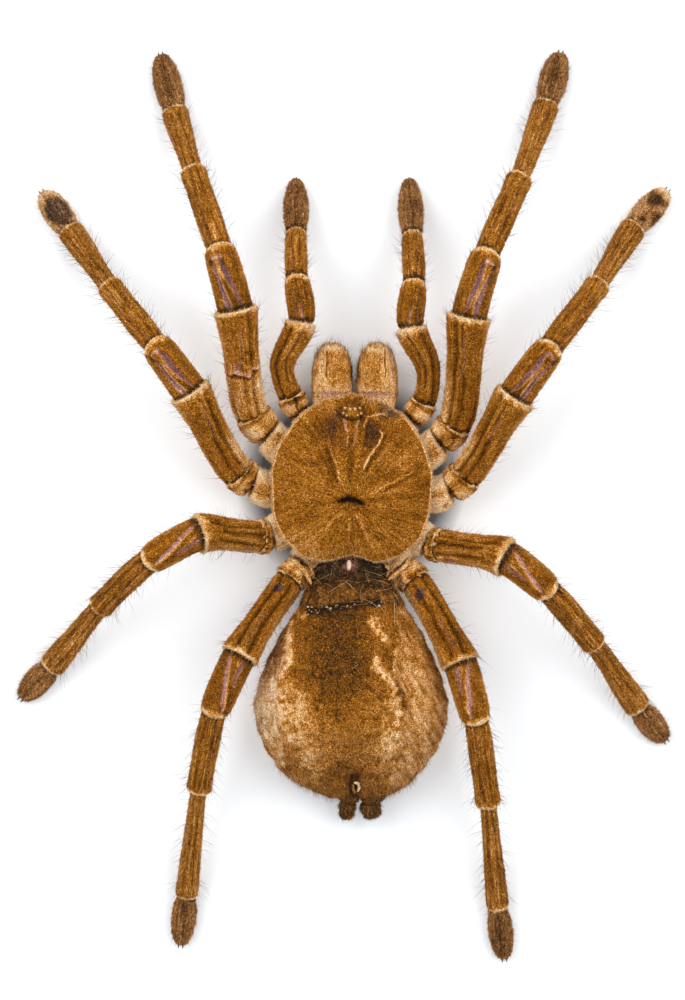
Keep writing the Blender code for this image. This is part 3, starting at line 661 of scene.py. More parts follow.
    # The pale crusted rim at the far end, and the shadow under the rim of the segment before
    rough = 0.4 * noise(base + 15.0, 0.9) + 0.25 * noise(base + 16.0, 0.4)
    rim = smooth(to_stop + 1.3 * rough, {"tibia": 1.4, "femur": 1.7, "patella": 1.2}.get(kind, 0.9), 0.35)
    rim = rim * (kind != "tarsus")
    crust = smooth(to_stop + 2 * rough, 1.7, 0.7) * smooth(top, -0.2, 0.5) * (kind in ("femur", "patella"))
    tone = towards(tone - dark + 0.34 * pale_edge, 0.74, 0.40 * crust)
    tone = towards(tone, 0.90, (0.55 + 0.40 * smooth(noise(base + 9.0, 2.2), -0.5, 0.3)) * rim)
    stop_before, length_before, arch_before = before
    from_rim = t * length - (stop_before - 1) * length_before - arch_before * np.maximum(top, -0.3)
    shadow = 1.7 if kind == "trochanter" else 1.1
    tone = tone - 0.27 * smooth(from_rim + rough, 1.5, 0.5) * (1 - rim) * shadow
    grey = grey + 0.03 * rim
    seen = (from_rim > -1.2) & (to_stop > 0.1)
    density = (5.5 if kind == "trochanter" else 9.0) * seen * (1 - 0.95 * smooth(bare, 0.25, 0.6))
    if kind != "tarsus":
        ring = limb_line(limb_name, s[-1] - 0.45 / length * spans)[0]
        inward = ring + (points[-1] - limb_line(limb_name, s[-1])[0]) * 0.72
        points = np.concatenate([points, inward[None]])
        tone, grey, bare, density, to_stop = (
            np.concatenate([v, v[-1:]]) for v in (tone, grey, bare, density, to_stop))
        # The inward ring of the mouth is painted dark, as shade inside it
        tone[-1] = 0.2
        density[-2:] = 0.0
    depth = (0.9 if kind != "tarsus" else 0.0) / length * spans
    end = limb_line(limb_name, np.array([s[-1].mean() - depth]))[0][0]
    result = shell(points, tone, grey, bare, SEGMENT_COAT[kind][0], density, last=end)
    result["to_stop"] = to_stop
    return result


def felt_folds(base, offset, run):
    """The crumpled pale felt near the body: how deep its creases are, its tone and how bare."""
    crumple = layered_noise(base + 23.0, 4.5)
    lengthwise = np.stack([offset * 1.3, run * 0.12, 0 * run], -1) + base[0, 0] * 3.0
    crease = smooth(np.abs(noise(lengthwise, 1.0) + 0.08 * noise(base, 1.6)), 0.09, 0.01)
    crease = crease * smooth(crumple, 0.25, -0.2)
    streak = bell(offset - 0.15 - 0.6 * noise(base + 61.0, 4.0), 0.40)
    tone = 0.86 - 0.27 * streak - 0.30 * crease + 0.09 * crumple + 0.04 * noise(base + 7, 1.1)
    bare = 0.35 * smooth(noise(base + 31.0, 2.4), 0.5, 0.8)
    return 0.35 * crease - 0.25 * crumple + 0.45 * streak, tone, bare


def groove_list(kind, code):
    """The grooves of one kind of segment on the limb with the given code."""
    for (groove_kind, codes), grooves in GROOVES.items():
        if groove_kind == kind and code in codes:
            return grooves
    return []


def femur_marks(limb_name, code, t, top, offset, tone, bare, base):
    """What only the femora have: pale flanks near the base, bare spots and one sharp fold."""
    sink = np.zeros_like(t)
    if code in "12":
        fading = (1 - smooth(t, 0.35, 0.62)) * (1 + 0.5 * noise(base, 1.3))
        tone = tone + 0.24 * within(offset, 0.75, 1.6, 0.2) * fading
        tone = tone + 0.12 * within(offset, -1.8, -1.0, 0.25) * smooth(t, 0.4, 0.8)
    if code in "34":
        tone = tone + 0.16 * within(offset, -2.0, -0.8, 0.3) * within(t, 0.1, 0.85, 0.15)
    if code == "3":
        spot = bell(t - 0.30, 0.07) * bell(offset + 0.9, 0.12)
        tone, bare, sink = tone - 0.30 * spot, bare + 0.8 * spot, sink + 0.3 * spot
    if code == "4":
        tone = tone - 0.06
        spot = bell(t - 0.235, 0.060) * bell(offset - FEMUR_SPOTS[limb_name] + 0.05 * noise(base, 0.7), 0.36)
        spot = smooth(spot, 0.38, 0.46)
        tone, bare, sink = towards(tone, 0.06, spot), bare + spot, sink + 0.30 * spot
    if limb_name == "leg_1_left":
        tone = tone + 0.14 * (1 - smooth(t, 0.41, 0.45))
        tone = tone + 0.04 * smooth(t, 0.44, 0.50) * (1 - smooth(t, 0.66, 0.8))
        bent = t + 0.012 * np.sin(offset * 4.5 + 0.6) + 0.016 * noise(base + 3, 0.9)
        fold = bell(bent - 0.440, 0.011) * smooth(top, 0.1, 0.6)
        lip = bell(bent - 0.466, 0.014) * smooth(top, 0.1, 0.6)
        spot = smooth(bell(t - 0.52, 0.05) * bell(offset + 0.32, 0.14), 0.3, 0.7)
        ring = np.hypot((t - 0.59) * 20, offset * 2.2 - 0.9) - 0.8 - 0.3 * noise(base, 1.2)
        crack = bell(ring, 0.12) * (top > 0.3)
        sink = sink + 0.7 * fold - 0.35 * lip + 0.3 * spot + 0.25 * crack
        tone = tone - 0.42 * fold + 0.24 * lip - 0.12 * spot - 0.22 * crack
        bare = bare + 0.6 * lip + 0.85 * spot
    return sink, tone, bare


def fringe(s, rng, count, length=1.1, tone=0.88, rows=2, grey=0.15):
    """A fringe of pale hairs round a segment's far rim, over the start of the next one."""
    points = s["points"]
    normal, along = normals_of(points)
    m = points.shape[1]
    j = rng.integers(0, m, count)
    i = len(points) - 3 - rng.integers(0, rows, count)
    keep = (normal[i, j, 2] > -0.3) | (rng.random(count) < 0.3)
    i, j = i[keep], j[keep]
    n = len(i)
    aim = along[i, j] * 1.0 + normal[i, j] * 0.12 + rng.normal(size=(n, 3)) * 0.3
    return strands(points[i, j], aim, length * rng.uniform(0.4, 1.2, n), rng.uniform(0.08, 0.13, n),
                   tone + rng.normal(size=n) * 0.1, np.full(n, grey))


def claw(place, heading, sideways, size):
    """A curved black claw: a cone whose axis drops away with the square of its length."""
    side = unit(np.cross(heading, UP))
    t, a = grid(np.linspace(0, 1, 12), ring_angles(10))
    axis = (place + side * sideways - heading * 0.7 + heading * (t * size * 1.1)[..., None]
            + side * (t * sideways * 0.2)[..., None] + UP * (0.25 * np.sin(t * 3) - 0.75 * t**2)[..., None])
    radius = 0.30 * (1 - t) ** 0.6 + 0.03
    points = axis + (side * np.cos(a)[..., None] + UP * np.sin(a)[..., None]) * radius[..., None]
    points[..., 2] = np.maximum(points[..., 2], 0.02)
    return shell(points, 0.03, 0.3, 0.0)


def limb(name):
    """A leg or pedipalp: its segments, their pile, fringes and bristles, and its claws."""
    palp = name.startswith("pedipalp")
    rng = seeded(name)
    shells, hairs = [], []
    before = (0.985, span(name, 0, 1), 0.3)
    for segment in PALP_SEGMENTS if palp else LEG_SEGMENTS:
        kind, first, last, _, stop, arch = segment[:6]
        s = limb_segment(name, segment, GIRTH.get(name[:5], {}).get(kind, 1.0), before, rng)
        before = (stop, span(name, first, last), arch)
        shells.append(s)
        _, per_mm2, long = SEGMENT_COAT[kind]
        hairs.append(velvet(s, rng, lean=1.3 if kind in ("tibia", "metatarsus") else 1.0))
        if kind != "tarsus":
            hairs.append(fringe(s, rng, 130 if palp else 190, 0.6 if kind == "patella" else 0.95))
        facing = normals_of(s["points"])[0][..., 2]
        covered = s["density"] > 0
        flanks = smooth(np.abs(facing), 0.85, 0.3) * covered
        crown = smooth(facing, 0.1, 0.8) * covered
        hairs.append(bristles(s, rng, 1.2 * per_mm2 * flanks, long * (0.8 if palp else 1.0)))
        hairs.append(bristles(s, rng, 0.35 * per_mm2 * flanks, long * 0.6, tone=0.6, grey=0.3, width=0.06))
        hairs.append(bristles(s, rng, 0.22 * per_mm2 * crown, long * 0.7, out=0.4, forward=1.0, width=0.07))
        if kind in ("femur", "patella", "tibia"):
            corner = flanks * smooth(s["to_stop"], 3.0, 1.0) * smooth(s["to_stop"], 0.2, 0.8)
            hairs.append(bristles(s, rng, 1.1 * corner, 2.2, out=0.6, forward=1.1, width=0.08))
    dress(name, name, shells, hairs, rng)
    place, heading = limb_line(name, np.array([7.0]))
    spread = (0.0,) if palp else (-0.45, 0.45)
    claws = skin(name + "_claws", [claw(place[0], heading[0], x, 1.7) for x in spread], horn)


# Marks on the carapace: a path, its half width, what it adds to the tone, how far it is
# raised (mm), and how bare it is
CARAPACE_STROKES = [
    ([(2.4, 6.2), (3.3, 8.4), (4.5, 10.7), (6.1, 12.6), (6.9, 14.2), (7.1, 15.6), (6.2, 16.5)],
     0.22, 0.52, 0.30, 0.0),
    ([(3.1, 6.0), (4.6, 8.9), (6.4, 10.9), (7.4, 13.0), (8.1, 15.6)], 0.50, -0.20, -0.22, 0.0),
    ([(3.2, 16.8), (3.0, 17.8), (3.7, 19.3), (5.4, 20.0), (7.6, 20.0), (9.4, 19.5)], 0.22, 0.42, 0.30, 0.0),
    ([(-5.9, 13.6), (-4.5, 10.5), (-3.0, 6.6), (-2.5, 3.0)], 0.24, 0.20, 0.20, 0.0),
    ([(-6.6, 13.2), (-5.2, 9.6), (-3.7, 6.0), (-3.2, 3.2)], 0.50, -0.10, -0.20, 0.0),
    ([(7.0, 10.2), (6.0, 7.7)], 0.25, 0.14, 0.05, 0.0),
    ([(-1.6, 19.3), (-1.45, 18.2), (-1.25, 17.0), (-1.1, 15.8)], 0.32, 0.26, -0.06, 0.45),
    ([(-1.2, 16.8), (-1.05, 14.6), (-0.9, 12.0)], 0.24, 0.16, -0.04, 0.40),
    ([(1.75, 19.2), (1.45, 18.0), (1.1, 16.8)], 0.32, 0.26, -0.06, 0.45),
    ([(1.15, 17.4), (0.85, 15.4), (0.40, 12.2)], 0.24, 0.16, -0.04, 0.40),
    ([(-0.4, 16.0), (-0.2, 9.0), (-0.5, 2.5)], 0.9, -0.05, -0.12, 0.0),
    ([(5.2, 2.1), (10.0, 4.2), (13.1, 5.9), (15.6, 7.2)], 0.20, 0.30, 0.12, 0.0),
    ([(5.4, 1.3), (10.4, 3.4), (13.6, 5.1)], 0.35, -0.12, -0.15, 0.0),
    ([(-3.0, 0.5), (-8.0, 4.6), (-13.5, 8.5)], 0.28, 0.10, 0.05, 0.0),
    ([(-2.0, -2.6), (-7.6, -7.7)], 0.38, 0.15, 0.12, 0.0),
    ([(-0.5, -3.4), (-0.5, -7.4)], 0.30, 0.14, 0.10, 0.0),
    ([(0.8, -2.9), (2.7, -6.3)], 0.30, 0.14, 0.10, 0.0),
    ([(2.4, -6.1), (7.6, -9.9)], 0.20, -0.18, -0.15, 0.0),
    ([(3.1, -5.4), (8.3, -9.2)], 0.20, -0.15, -0.12, 0.0),
    ([(-2.1, 19.9), (-1.4, 19.0), (0.2, 18.6), (1.9, 18.9), (2.8, 19.8)], 0.35, -0.26, -0.30, 0.0),
]
# Sunken or raised spots on it: centre, radii, tone, how far raised, and how bare
CARAPACE_SPOTS = [
    ((4.8, 15.8), (1.8, 3.2), -0.27, -0.60, 0.12),
    ((-4.6, 16.9), (1.8, 3.2), -0.20, -0.45, 0.18),
    ((-2.6, 20.0), (1.6, 1.3), -0.16, -0.10, 0.10),
    ((3.8, 20.8), (2.2, 1.2), -0.12, -0.10, 0.0),
    ((0.2, 23.2), (2.2, 0.9), -0.14, 0.0, 0.0),
    ((-4.8, 5.2), (1.3, 3.2), -0.08, -0.30, 0.0),
    ((6.5, 6.8), (1.2, 2.0), -0.13, -0.40, 0.0),
    ((0.2, 20.3), (3.8, 2.7), -0.09, 0.0, 0.0),
    ((0.2, 20.4), (1.8, 1.4), 0.17, 0.10, 0.0),
    ((-7.6, 17.4), (1.6, 2.4), -0.10, -0.15, 0.0),
    ((9.8, 14.5), (1.5, 3.0), -0.07, -0.15, 0.0),
]
# The pit in its middle, and the eyes with their radii
PIT_PATH = [(-2.9, -0.35), (-1.9, 0.0), (-0.5, 0.05), (0.6, -0.15), (1.6, -0.5), (2.5, -0.95)]
EYES = [((-1.50, 21.45), 0.42), ((-0.35, 21.15), 0.48), ((0.85, 21.25), 0.48), ((1.95, 21.45), 0.40),
        ((-1.95, 20.3), 0.38), ((-1.15, 19.75), 0.30), ((1.45, 19.85), 0.30), ((2.25, 20.25), 0.42)]


def carapace_edge(angle):
    """The shield's outline: a tapered front, a squarer rear and a notch in its middle."""
    c, s = np.cos(angle), np.sin(angle)
    fullness = np.where(s >= 0, 1.92, 2.7)
    x = squarer(c, fullness)
    y = np.where(s >= 0, 20.1, 19.8) * squarer(s, fullness)
    y = y + np.where(s < 0, 1.9 * bell(x * SHIELD_HALF_WIDTH, 4.6), 0)
    wave = 1 + 0.006 * np.sin(angle * 9 + 1) + 0.004 * np.sin(angle * 17)
    wave = wave + 0.005 * np.sin(angle * 37) * smooth(s, 0.6, 0.9)
    return x * SHIELD_HALF_WIDTH * wave, y * wave


def carapace_height(x, y, r):
    """The shield's top above its edge: a dome, a raised head and a mound for the eyes."""
    head = (x / 8.0) ** 2 + ((y - 13.5) / 10.5) ** 2
    mound = ((x - 0.2) / 2.6) ** 2 + ((y - 20.4) / 1.8) ** 2
    return 0.9 + 4.8 * (1 - r**2.4) + 1.7 * np.exp(-(head**2)) * (1 - r**6) + 1.3 * np.exp(-(mound**2))


def carapace():
    """The shield: a dome over its outline with a raised head, grooves that run out from a
    deep pit, a mound with the eyes, a rounded rim and a flat underside."""
    rng = seeded("carapace")
    sectors = 340
    angle = -(np.arange(sectors) + 0.5) / sectors * 2 * np.pi
    under = np.array([0.3, 0.6, 0.85, 0.965])
    over = np.concatenate([[0.99, 1.0, 1.0, 0.994], np.linspace(0.987, 0.015, 104)])
    share = np.concatenate([under, over])
    lift = np.concatenate([[0, 0, 0, 0], [0.08, 0.35, 0.65, 0.85], np.ones(104)])
    r, a = grid(share, angle)
    up = np.broadcast_to(lift[:, None], r.shape)
    ex, ey = carapace_edge(a)
    x, y = ex * r, SHIELD_MIDDLE * r + ey * r
    plain = np.stack([x, y, 0 * x], -1)
    ray = np.arctan2(x + 0.4, y + 0.3)
    groove = sum(w * bell(np.angle(np.exp(1j * (ray - c))), 0.05)
                 for c, w in ((-0.42, 0.4), (0.45, 0.5), (1.15, 0.5), (1.78, 0.7), (2.35, 0.5), (2.85, 0.3),
                              (-1.1, 0.6), (-1.66, 0.5), (-2.3, 0.6), (-2.85, 0.4)))
    groove = groove * smooth(r, 0.12, 0.4) * (1 - smooth(r, 0.65, 0.9)) * (0.7 + 0.5 * noise(plain, 4.0))
    relief = 0.12 * layered_noise(plain + 7.0, 3.5) * (1 - r**8) + 0.05 * layered_noise(plain, 1.0)
    relief = relief - 0.26 * groove
    streaks = noise(np.stack([ray * 9, r * 2.2, 0 * r], -1) + 40, 1.0)
    fine_streaks = noise(np.stack([ray * 30, r * 4.0, 0 * r], -1) + 10, 1.0)
    tone = 0.46 + 0.06 * streaks + 0.07 * fine_streaks + 0.07 * layered_noise(plain, 2.2) - 0.07 * groove
    tone = tone + 0.04 * noise(plain + 70, 5.0)
    tone = tone + 0.085 * smooth(y, -2, -14) + 0.02 * smooth(x, 2.0, 8.0)
    tone = tone - 0.015 * np.exp(-(((x / 9.0) ** 2 + ((y - 15.0) / 8.0) ** 2) ** 2))
    bare = 0 * x
    wavy_x, wavy_y = x + 0.22 * noise(plain, 1.0), y + 0.22 * noise(plain + 50, 1.0)
    for path, wide, tone_added, raised, bared in CARAPACE_STROKES:
        line = stroke(wavy_x, wavy_y, path, wide)
        tone, relief, bare = tone + tone_added * line, relief + raised * line, bare + bared * line
    for centre, radii, tone_added, raised, bared in CARAPACE_SPOTS:
        spot = patch(wavy_x, wavy_y, centre, radii)
        tone, relief, bare = tone + tone_added * spot, relief + raised * spot, bare + bared * spot
    away, along_pit = near_path(x + 0.12 * noise(plain, 0.45), y + 0.22 * noise(plain + 9, 0.6), PIT_PATH)
    pit = bell(away, 0.30 + 0.34 * bell(along_pit - 0.5, 0.38))
    relief = relief - 1.9 * pit + 0.35 * bell(away - 1.3, 0.6) * bell(along_pit - 0.5, 0.5)
    tone = tone - 0.55 * pit - 0.08 * bell(away, 1.6)
    crust = within(wavy_x, 6.5, 11.4, 0.4) * within(wavy_y, 19.4, 22.8, 0.4) * (up > 0.9)
    relief = relief + crust * (0.1 + 0.28 * noise(plain, 0.6))
    tone = tone + crust * (-0.17 + 0.10 * noise(plain + 3, 0.5))
    front_band = smooth(r, 0.86, 0.92) * smooth(y, 12, 20)
    rim = smooth(r + 0.003 * noise(plain, 1.2), 0.973, 0.982)
    tone = tone + 0.05 * front_band
    tone = towards(tone, 0.93, 0.9 * rim * (1 - 0.75 * smooth(y, 18.5, 21.5)))
    tone = np.where(up < 1, 0.62, tone)
    z = SHIELD_EDGE + np.where(up < 1, up * 0.9, carapace_height(x, y, r) + relief)
    density = 11.0 * (up > 0.9) * (1 - 0.9 * smooth(bare, 0.2, 0.5)) * (1 - 0.95 * smooth(pit, 0.2, 0.6))
    density = density * (1 - 0.7 * patch(x, y, (0.2, 20.4), (2.0, 1.4))) * (1 - 0.6 * smooth(r, 0.955, 0.975))
    s = shell(np.stack([x, y, z], -1), tone, 0.45 * crust + 0.1 * rim, bare, 0.6, density)
    # A pale fringe all round the rim
    count = 2600
    around = rng.uniform(0, 2 * np.pi, count)
    fx, fy = carapace_edge(around)
    root = np.stack([fx * 0.994, SHIELD_MIDDLE + fy * 0.994, rng.uniform(13.3, 13.9, count)], -1)
    out = unit(np.stack([fx / SHIELD_HALF_WIDTH**1.3, fy / 20**1.3, -0.1 + 0 * fx], -1))
    edge = strands(root, out + rng.normal(size=(count, 3)) * 0.3, rng.uniform(0.15, 0.7, count),
                   rng.uniform(0.08, 0.12, count), 0.84 + rng.normal(size=count) * 0.1, np.full(count, 0.2))
    # White bristles that stick out between the head and the jaws
    whiskers = (1.0 + 2.5 * within(x, 2.0, 6.0, 0.6)) * smooth(r, 0.90, 0.97)
    whiskers = whiskers * smooth(y, 19.5, 22.5) * (up > 0.9)
    front = bristles(s, rng, 1.2 * whiskers, 1.7, tone=0.97, grey=0.4, out=0.5, forward=-1.0)
    pile = velvet(s, rng, 0.9, against=True)
    dress("carapace", "carapace", [s], [pile, edge, front], rng)
    beads = []
    for (ex, ey), size in EYES:
        height = SHIELD_EDGE + carapace_height(ex, ey, ey / 24.9) + size * 0.25
        beads.append(ball((ex, ey, height), (size, size, size * 0.9)))
    eyes = skin("eyes", beads, eye_glass)


def trunk():
    """The breastplate and the body above it as a loft of ovals, with the eight coxae and
    two maxillae that run out from it, and the labium."""
    rng = seeded("trunk")
    rows = np.array([(0, 2.4, 6.6, 8.2), (0.06, 3.0, 7.8, 9.4), (0.35, 6.0, 11.0, 12.5),
                     (0.8, 10.5, 15.0, 16.0), (1, 12.6, 15.4, 16.6)])
    t, a = grid(np.linspace(0, 1, 40), -ring_angles(72))
    height, wide, long = (np.interp(t, rows[:, 0], rows[:, k]) for k in (1, 2, 3))
    points = np.stack([wide * np.cos(a), 3.0 + long * np.sin(a), height], -1)
    body = shell(points, 0.5 + 0.08 * layered_noise(points, 2.0), 0.1, 0.0, 0.9, 5.0,
                 first=(0, 3, 2.3), last=(0, 3, 12.6))
    shells, hairs = [body], [velvet(body, rng, 0.6, 0.9)]
    for name in JOINTS:
        s = hip(name)
        shells.append(s)
        outer = (s["density"] > 3) * smooth(normals_of(s["points"])[0][..., 2], -0.3, 0.4)
        hairs += [velvet(s, rng, 0.8, 0.4), fringe(s, rng, 260, 1.0, 0.92, 3, 0.1),
                  bristles(s, rng, 0.5 * outer, 2.0, tone=0.85, grey=0.25, out=0.5, forward=1.0)]
    labium = ball((0.0, 12.2, 5.2), (2.6, 2.2, 2.4), 0.45)
    dress("trunk", "sternum_and_coxae", shells + [labium], hairs, rng)


def hip(name):
    """A coxa: cream felt at its rim and flanks, orange-brown along its folded top."""
    stop = 0.985
    length = span(name, 0, 1)
    t, a = grid(np.linspace(0.0, stop, int(length / 0.35)), ring_angles(64, 0.45))
    width, ratio = profile_at(MAXILLA_PROFILE if name.startswith("pedipalp") else COXA_PROFILE, t)
    to_stop = (stop - t) * length
    close = 0.74 + 0.26 * rounded(to_stop / 2.0)
    place, heading = limb_line(name, t + 0.3 / length * np.maximum(np.sin(a), -0.3) * smooth(t, 0.5, 1.0))
    if name[4] in "12":
        place[..., 1] -= 1.2 * bell(t - 0.68, 0.22)
    base = place + oval(heading, a, width, ratio)
    offset = a - np.pi / 2
    sink, tone, bare = felt_folds(base, offset, t * length)
    points = place + (base - place) * (close * (1 - 1.3 * sink / (width / 2)))[..., None]
    points[..., 2] = np.clip(points[..., 2], LEAST_HEIGHT, 12.8)
    tone = tone + 0.10 * smooth(to_stop, 1.8, 0.5) - 0.30 * smooth(t, 0.60, 0.42)
    tone = tone + 0.14 * smooth(np.abs(offset), 0.6, 1.2)
    # Painted shade at the far end, in the gap before the trochanter
    tone = tone - 0.40 * smooth(to_stop, 0.45, 0.1)
    return shell(points, tone, 0.04, 0.6 * bare, 0.45, 5.5 * smooth(t, 0.3, 0.5))


def jaw(side, centre):
    """A jaw: a box with rounded edges along Y that swells past the shield's edge, with a
    round front; it is combed forwards, pale at its sides and orange-brown along the top."""
    name = f"chelicera_{side}"
    rng = seeded(name)
    out = -1 if side == "left" else 1
    rows = [(21.8, 8.4, 9.0, 6.8), (23.6, 9.2, 9.0, 7.4), (24.6, 9.4, 9.1, 8.2), (25.6, 9.5, 9.5, 10.2),
            (27.0, 9.5, 9.6, 11.0), (30.6, 9.2, 9.6, 11.2), (33.0, 8.3, 9.5, 10.6), (34.8, 7.0, 9.3, 9.0),
            (36.1, 5.0, 9.1, 6.9), (36.8, 3.2, 9.0, 4.6), (37.05, 1.8, 9.0, 2.6)]
    y = np.unique(np.concatenate([np.linspace(21.8, 36.7, 62), np.linspace(36.75, 37.05, 5)]))
    t, a = grid(y, ring_angles(120, 0.35))
    width, middle, height = profile_at(rows, t)
    px, pz = squarer(np.cos(a), 2.6), squarer(np.sin(a), 2.6)
    x, z = centre + px * width / 2, middle + pz * height / 2
    points = np.stack([x, t, z], -1)
    across = (x - centre) * out
    upper = smooth(pz, 0.2, 0.7)
    seam_at = 1.3 if side == "left" else 1.9
    seam = bell(across - seam_at - 0.12 * np.sin(t * 1.1), 0.13) * upper * within(t, 29.0, 34.6, 0.6)
    rib = bell(across - seam_at - 0.55, 0.35) * upper * within(t, 28.0, 35.0, 0.8)
    points[..., 2] += 0.25 * rib - 0.45 * seam
    points = points + 0.16 * layered_noise(points, 2.6)[..., None] * np.array([0.5, 0, 1.0])
    panel = within(across + 0.6 * noise(points, 1.5), -3.0, 0.5, 1.0)
    panel = panel * smooth(pz, 0.3, 0.85) * within(t, 27.6, 34.0, 1.8)
    comb = noise(np.stack([across * 5.0, t * 0.9, 0 * t], -1), 1.0)
    flank = smooth(across, seam_at + 0.4, seam_at + 1.4)
    speckles = smooth(noise(points + 8.0, 0.6), 0.3, 0.6) * flank
    tone = 0.74 - 0.16 * panel + 0.08 * comb + 0.06 * layered_noise(points, 1.4) - 0.50 * seam
    tone = tone + 0.05 * flank - 0.20 * speckles
    # Painted shade darkens the inner flank, where the two jaws meet, and the outer flank
    tone = tone - 0.34 * smooth(-across, 3.5, 4.4) * smooth(t, 27, 29)
    tone = tone - 0.20 * smooth(across, 4.0, 4.7) + 0.10 * bell(t - 35.4, 0.8)
    torn = noise(points + 12.0, 1.4)
    membrane = smooth(25.0 + 0.15 * (across + 2.0) + 1.1 * torn - t, -0.2, 0.2) * (t > 24.0)
    membrane = membrane * within(across, -3.2, 2.6, 0.3)
    tone = tone - 0.04 * membrane
    jaw_shell = shell(points, tone, 0.04, 0.55 * membrane, 0.95, 8.0 * (1 - 0.8 * smooth(membrane, 0.3, 0.7)))
    normal, _ = normals_of(points)
    sideways, upwards = normal[..., 0] * out, normal[..., 2]
    front = smooth(t, 33.8, 36.0) * smooth(upwards, -0.4, 0.3)
    corner = smooth(np.abs(across), 2.4, 3.4) * smooth(t, 32.0, 34.5) * smooth(upwards, -0.5, 0.1)
    inner = smooth(-across, 3.8, 4.5) * within(t, 27.5, 33.5, 1.0)
    outer = smooth(sideways, 0.4, 0.9) * smooth(t, 27, 30)
    crown = smooth(upwards, 0.5, 0.9) * smooth(t, 26, 27)
    dots = smooth(speckles, 0.2, 0.6)
    hairs = [velvet(jaw_shell, rng, 2.3, 0.3, 0.10, speckle=0.08)]
    for where, per_mm2, length, dark, grey, away, forward, width, spread in (
            (front, 1.8, 2.2, 0.22, 0.4, 0.5, 0.9, 0.07, 0.28),
            (corner, 2.4, 1.8, 0.12, 0.3, 0.5, 0.9, 0.08, 0.28),
            (inner, 2.0, 1.3, 0.12, 0.3, 0.9, 0.7, 0.07, 0.28),
            (outer, 0.9, 1.2, 0.2, 0.3, 0.5, 0.9, 0.06, 0.28),
            (crown, 0.5, 1.3, 0.90, 0.15, 0.25, 1.2, 0.06, 0.2),
            (dots, 1.6, 0.7, 0.12, 0.3, 0.5, 0.9, 0.07, 0.28)):
        density = per_mm2 * where
        hairs.append(bristles(jaw_shell, rng, density, length, dark, grey, away, forward, width, spread))
    dress(name, name, [jaw_shell], hairs, rng)


def fang(side, centre):
    """A curved fang: circles along a bowed line under the jaw, narrowing to a point."""
    rows = [(0.0, 34.6, 3.0, 1.2), (0.25, 32.0, 2.2, 1.4), (0.55, 28.5, 1.9, 1.1), (0.82, 25.5, 2.2, 0.65),
            (1.0, 23.4, 3.0, 0.22)]
    t, a = grid(np.linspace(0, 1, 48), ring_angles(24))
    y, z, radius = profile_at(rows, t)
    points = np.stack([centre - np.cos(a) * radius, y, z + np.sin(a) * radius], -1)
    piece = skin(f"fang_{side}_horn", [shell(points, 0.02, 0.3)], horn)
    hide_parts(f"fang_{side}")


# Rings of the abdomen: distance back, half width, underside, top, and how much its roof narrows
ABDOMEN_ROWS = [
    (14.9, 2.5, 6.4, 11.4, 0.0), (17.4, 3.2, 5.6, 12.0, 0.2), (18.5, 10.2, 4.6, 14.6, 0.5),
    (21.0, 12.6, 3.0, 18.4, 0.38), (24.6, 13.9, 1.0, 21.4, 0.3), (28.5, 16.2, -1.2, 23.6, 0.24),
    (33.0, 18.4, -2.2, 25.0, 0.16), (38.0, 20.6, -2.8, 25.8, 0.1), (43.0, 22.0, -3.0, 26.0, 0.05),
    (48.0, 22.7, -3.0, 25.6, 0.0), (53.0, 22.1, -2.8, 24.4, 0.0), (58.0, 20.4, -2.2, 22.0, 0.0),
    (62.5, 17.7, -1.2, 18.8, 0.0), (66.0, 14.2, 0.2, 15.4, 0.0), (68.8, 9.6, 1.6, 12.4, 0.0),
    (70.3, 6.0, 2.8, 10.4, 0.0),
]
# Pale ridges of the abdomen: a path, its half width and how strong it is
LEFT_RIDGE = [(-14.5, -26.0), (-14.4, -31.0), (-14.0, -35.3), (-16.1, -41.6), (-16.6, -47.0), (-15.2, -57.0)]
PALE_RIDGES = [
    (LEFT_RIDGE, 0.9, 0.9),
    ([(-16.0, -41.5), (-15.0, -47.0), (-14.4, -52.0), (-13.0, -58.0)], 2.1, 0.75),
    ([(-13.8, -43.0), (-12.6, -52.0), (-10.6, -60.0), (-6.5, -66.0)], 2.6, 0.6),
    ([(8.8, -45.0), (9.8, -53.0), (8.6, -60.0), (5.5, -66.0)], 2.6, 0.55),
    ([(4.0, -26.8), (4.9, -29.6), (7.4, -31.4), (7.8, -33.4)], 1.1, 1.0),
    ([(4.2, -27.2), (6.4, -27.6)], 0.8, 0.6),
    ([(4.6, -36.4), (7.0, -39.0), (9.7, -42.6), (10.6, -44.6)], 1.15, 1.0),
    ([(9.9, -42.8), (11.2, -47.0), (11.0, -53.0), (9.6, -58.0)], 1.5, 0.6),
    ([(10.4, -31.0), (10.5, -36.0), (10.3, -41.0)], 0.35, 0.8),
    ([(10.2, -25.2), (14.2, -27.0)], 0.9, 0.6),
    ([(-13.6, -25.6), (-9.6, -27.4)], 0.8, 0.6),
    ([(12.6, -47.4), (13.2, -52.0), (12.4, -56.5)], 0.3, 0.5),
]
SLIT_PATH = [(-10.8, -26.1), (-6.0, -25.6), (0.0, -24.4), (7.6, -23.5)]


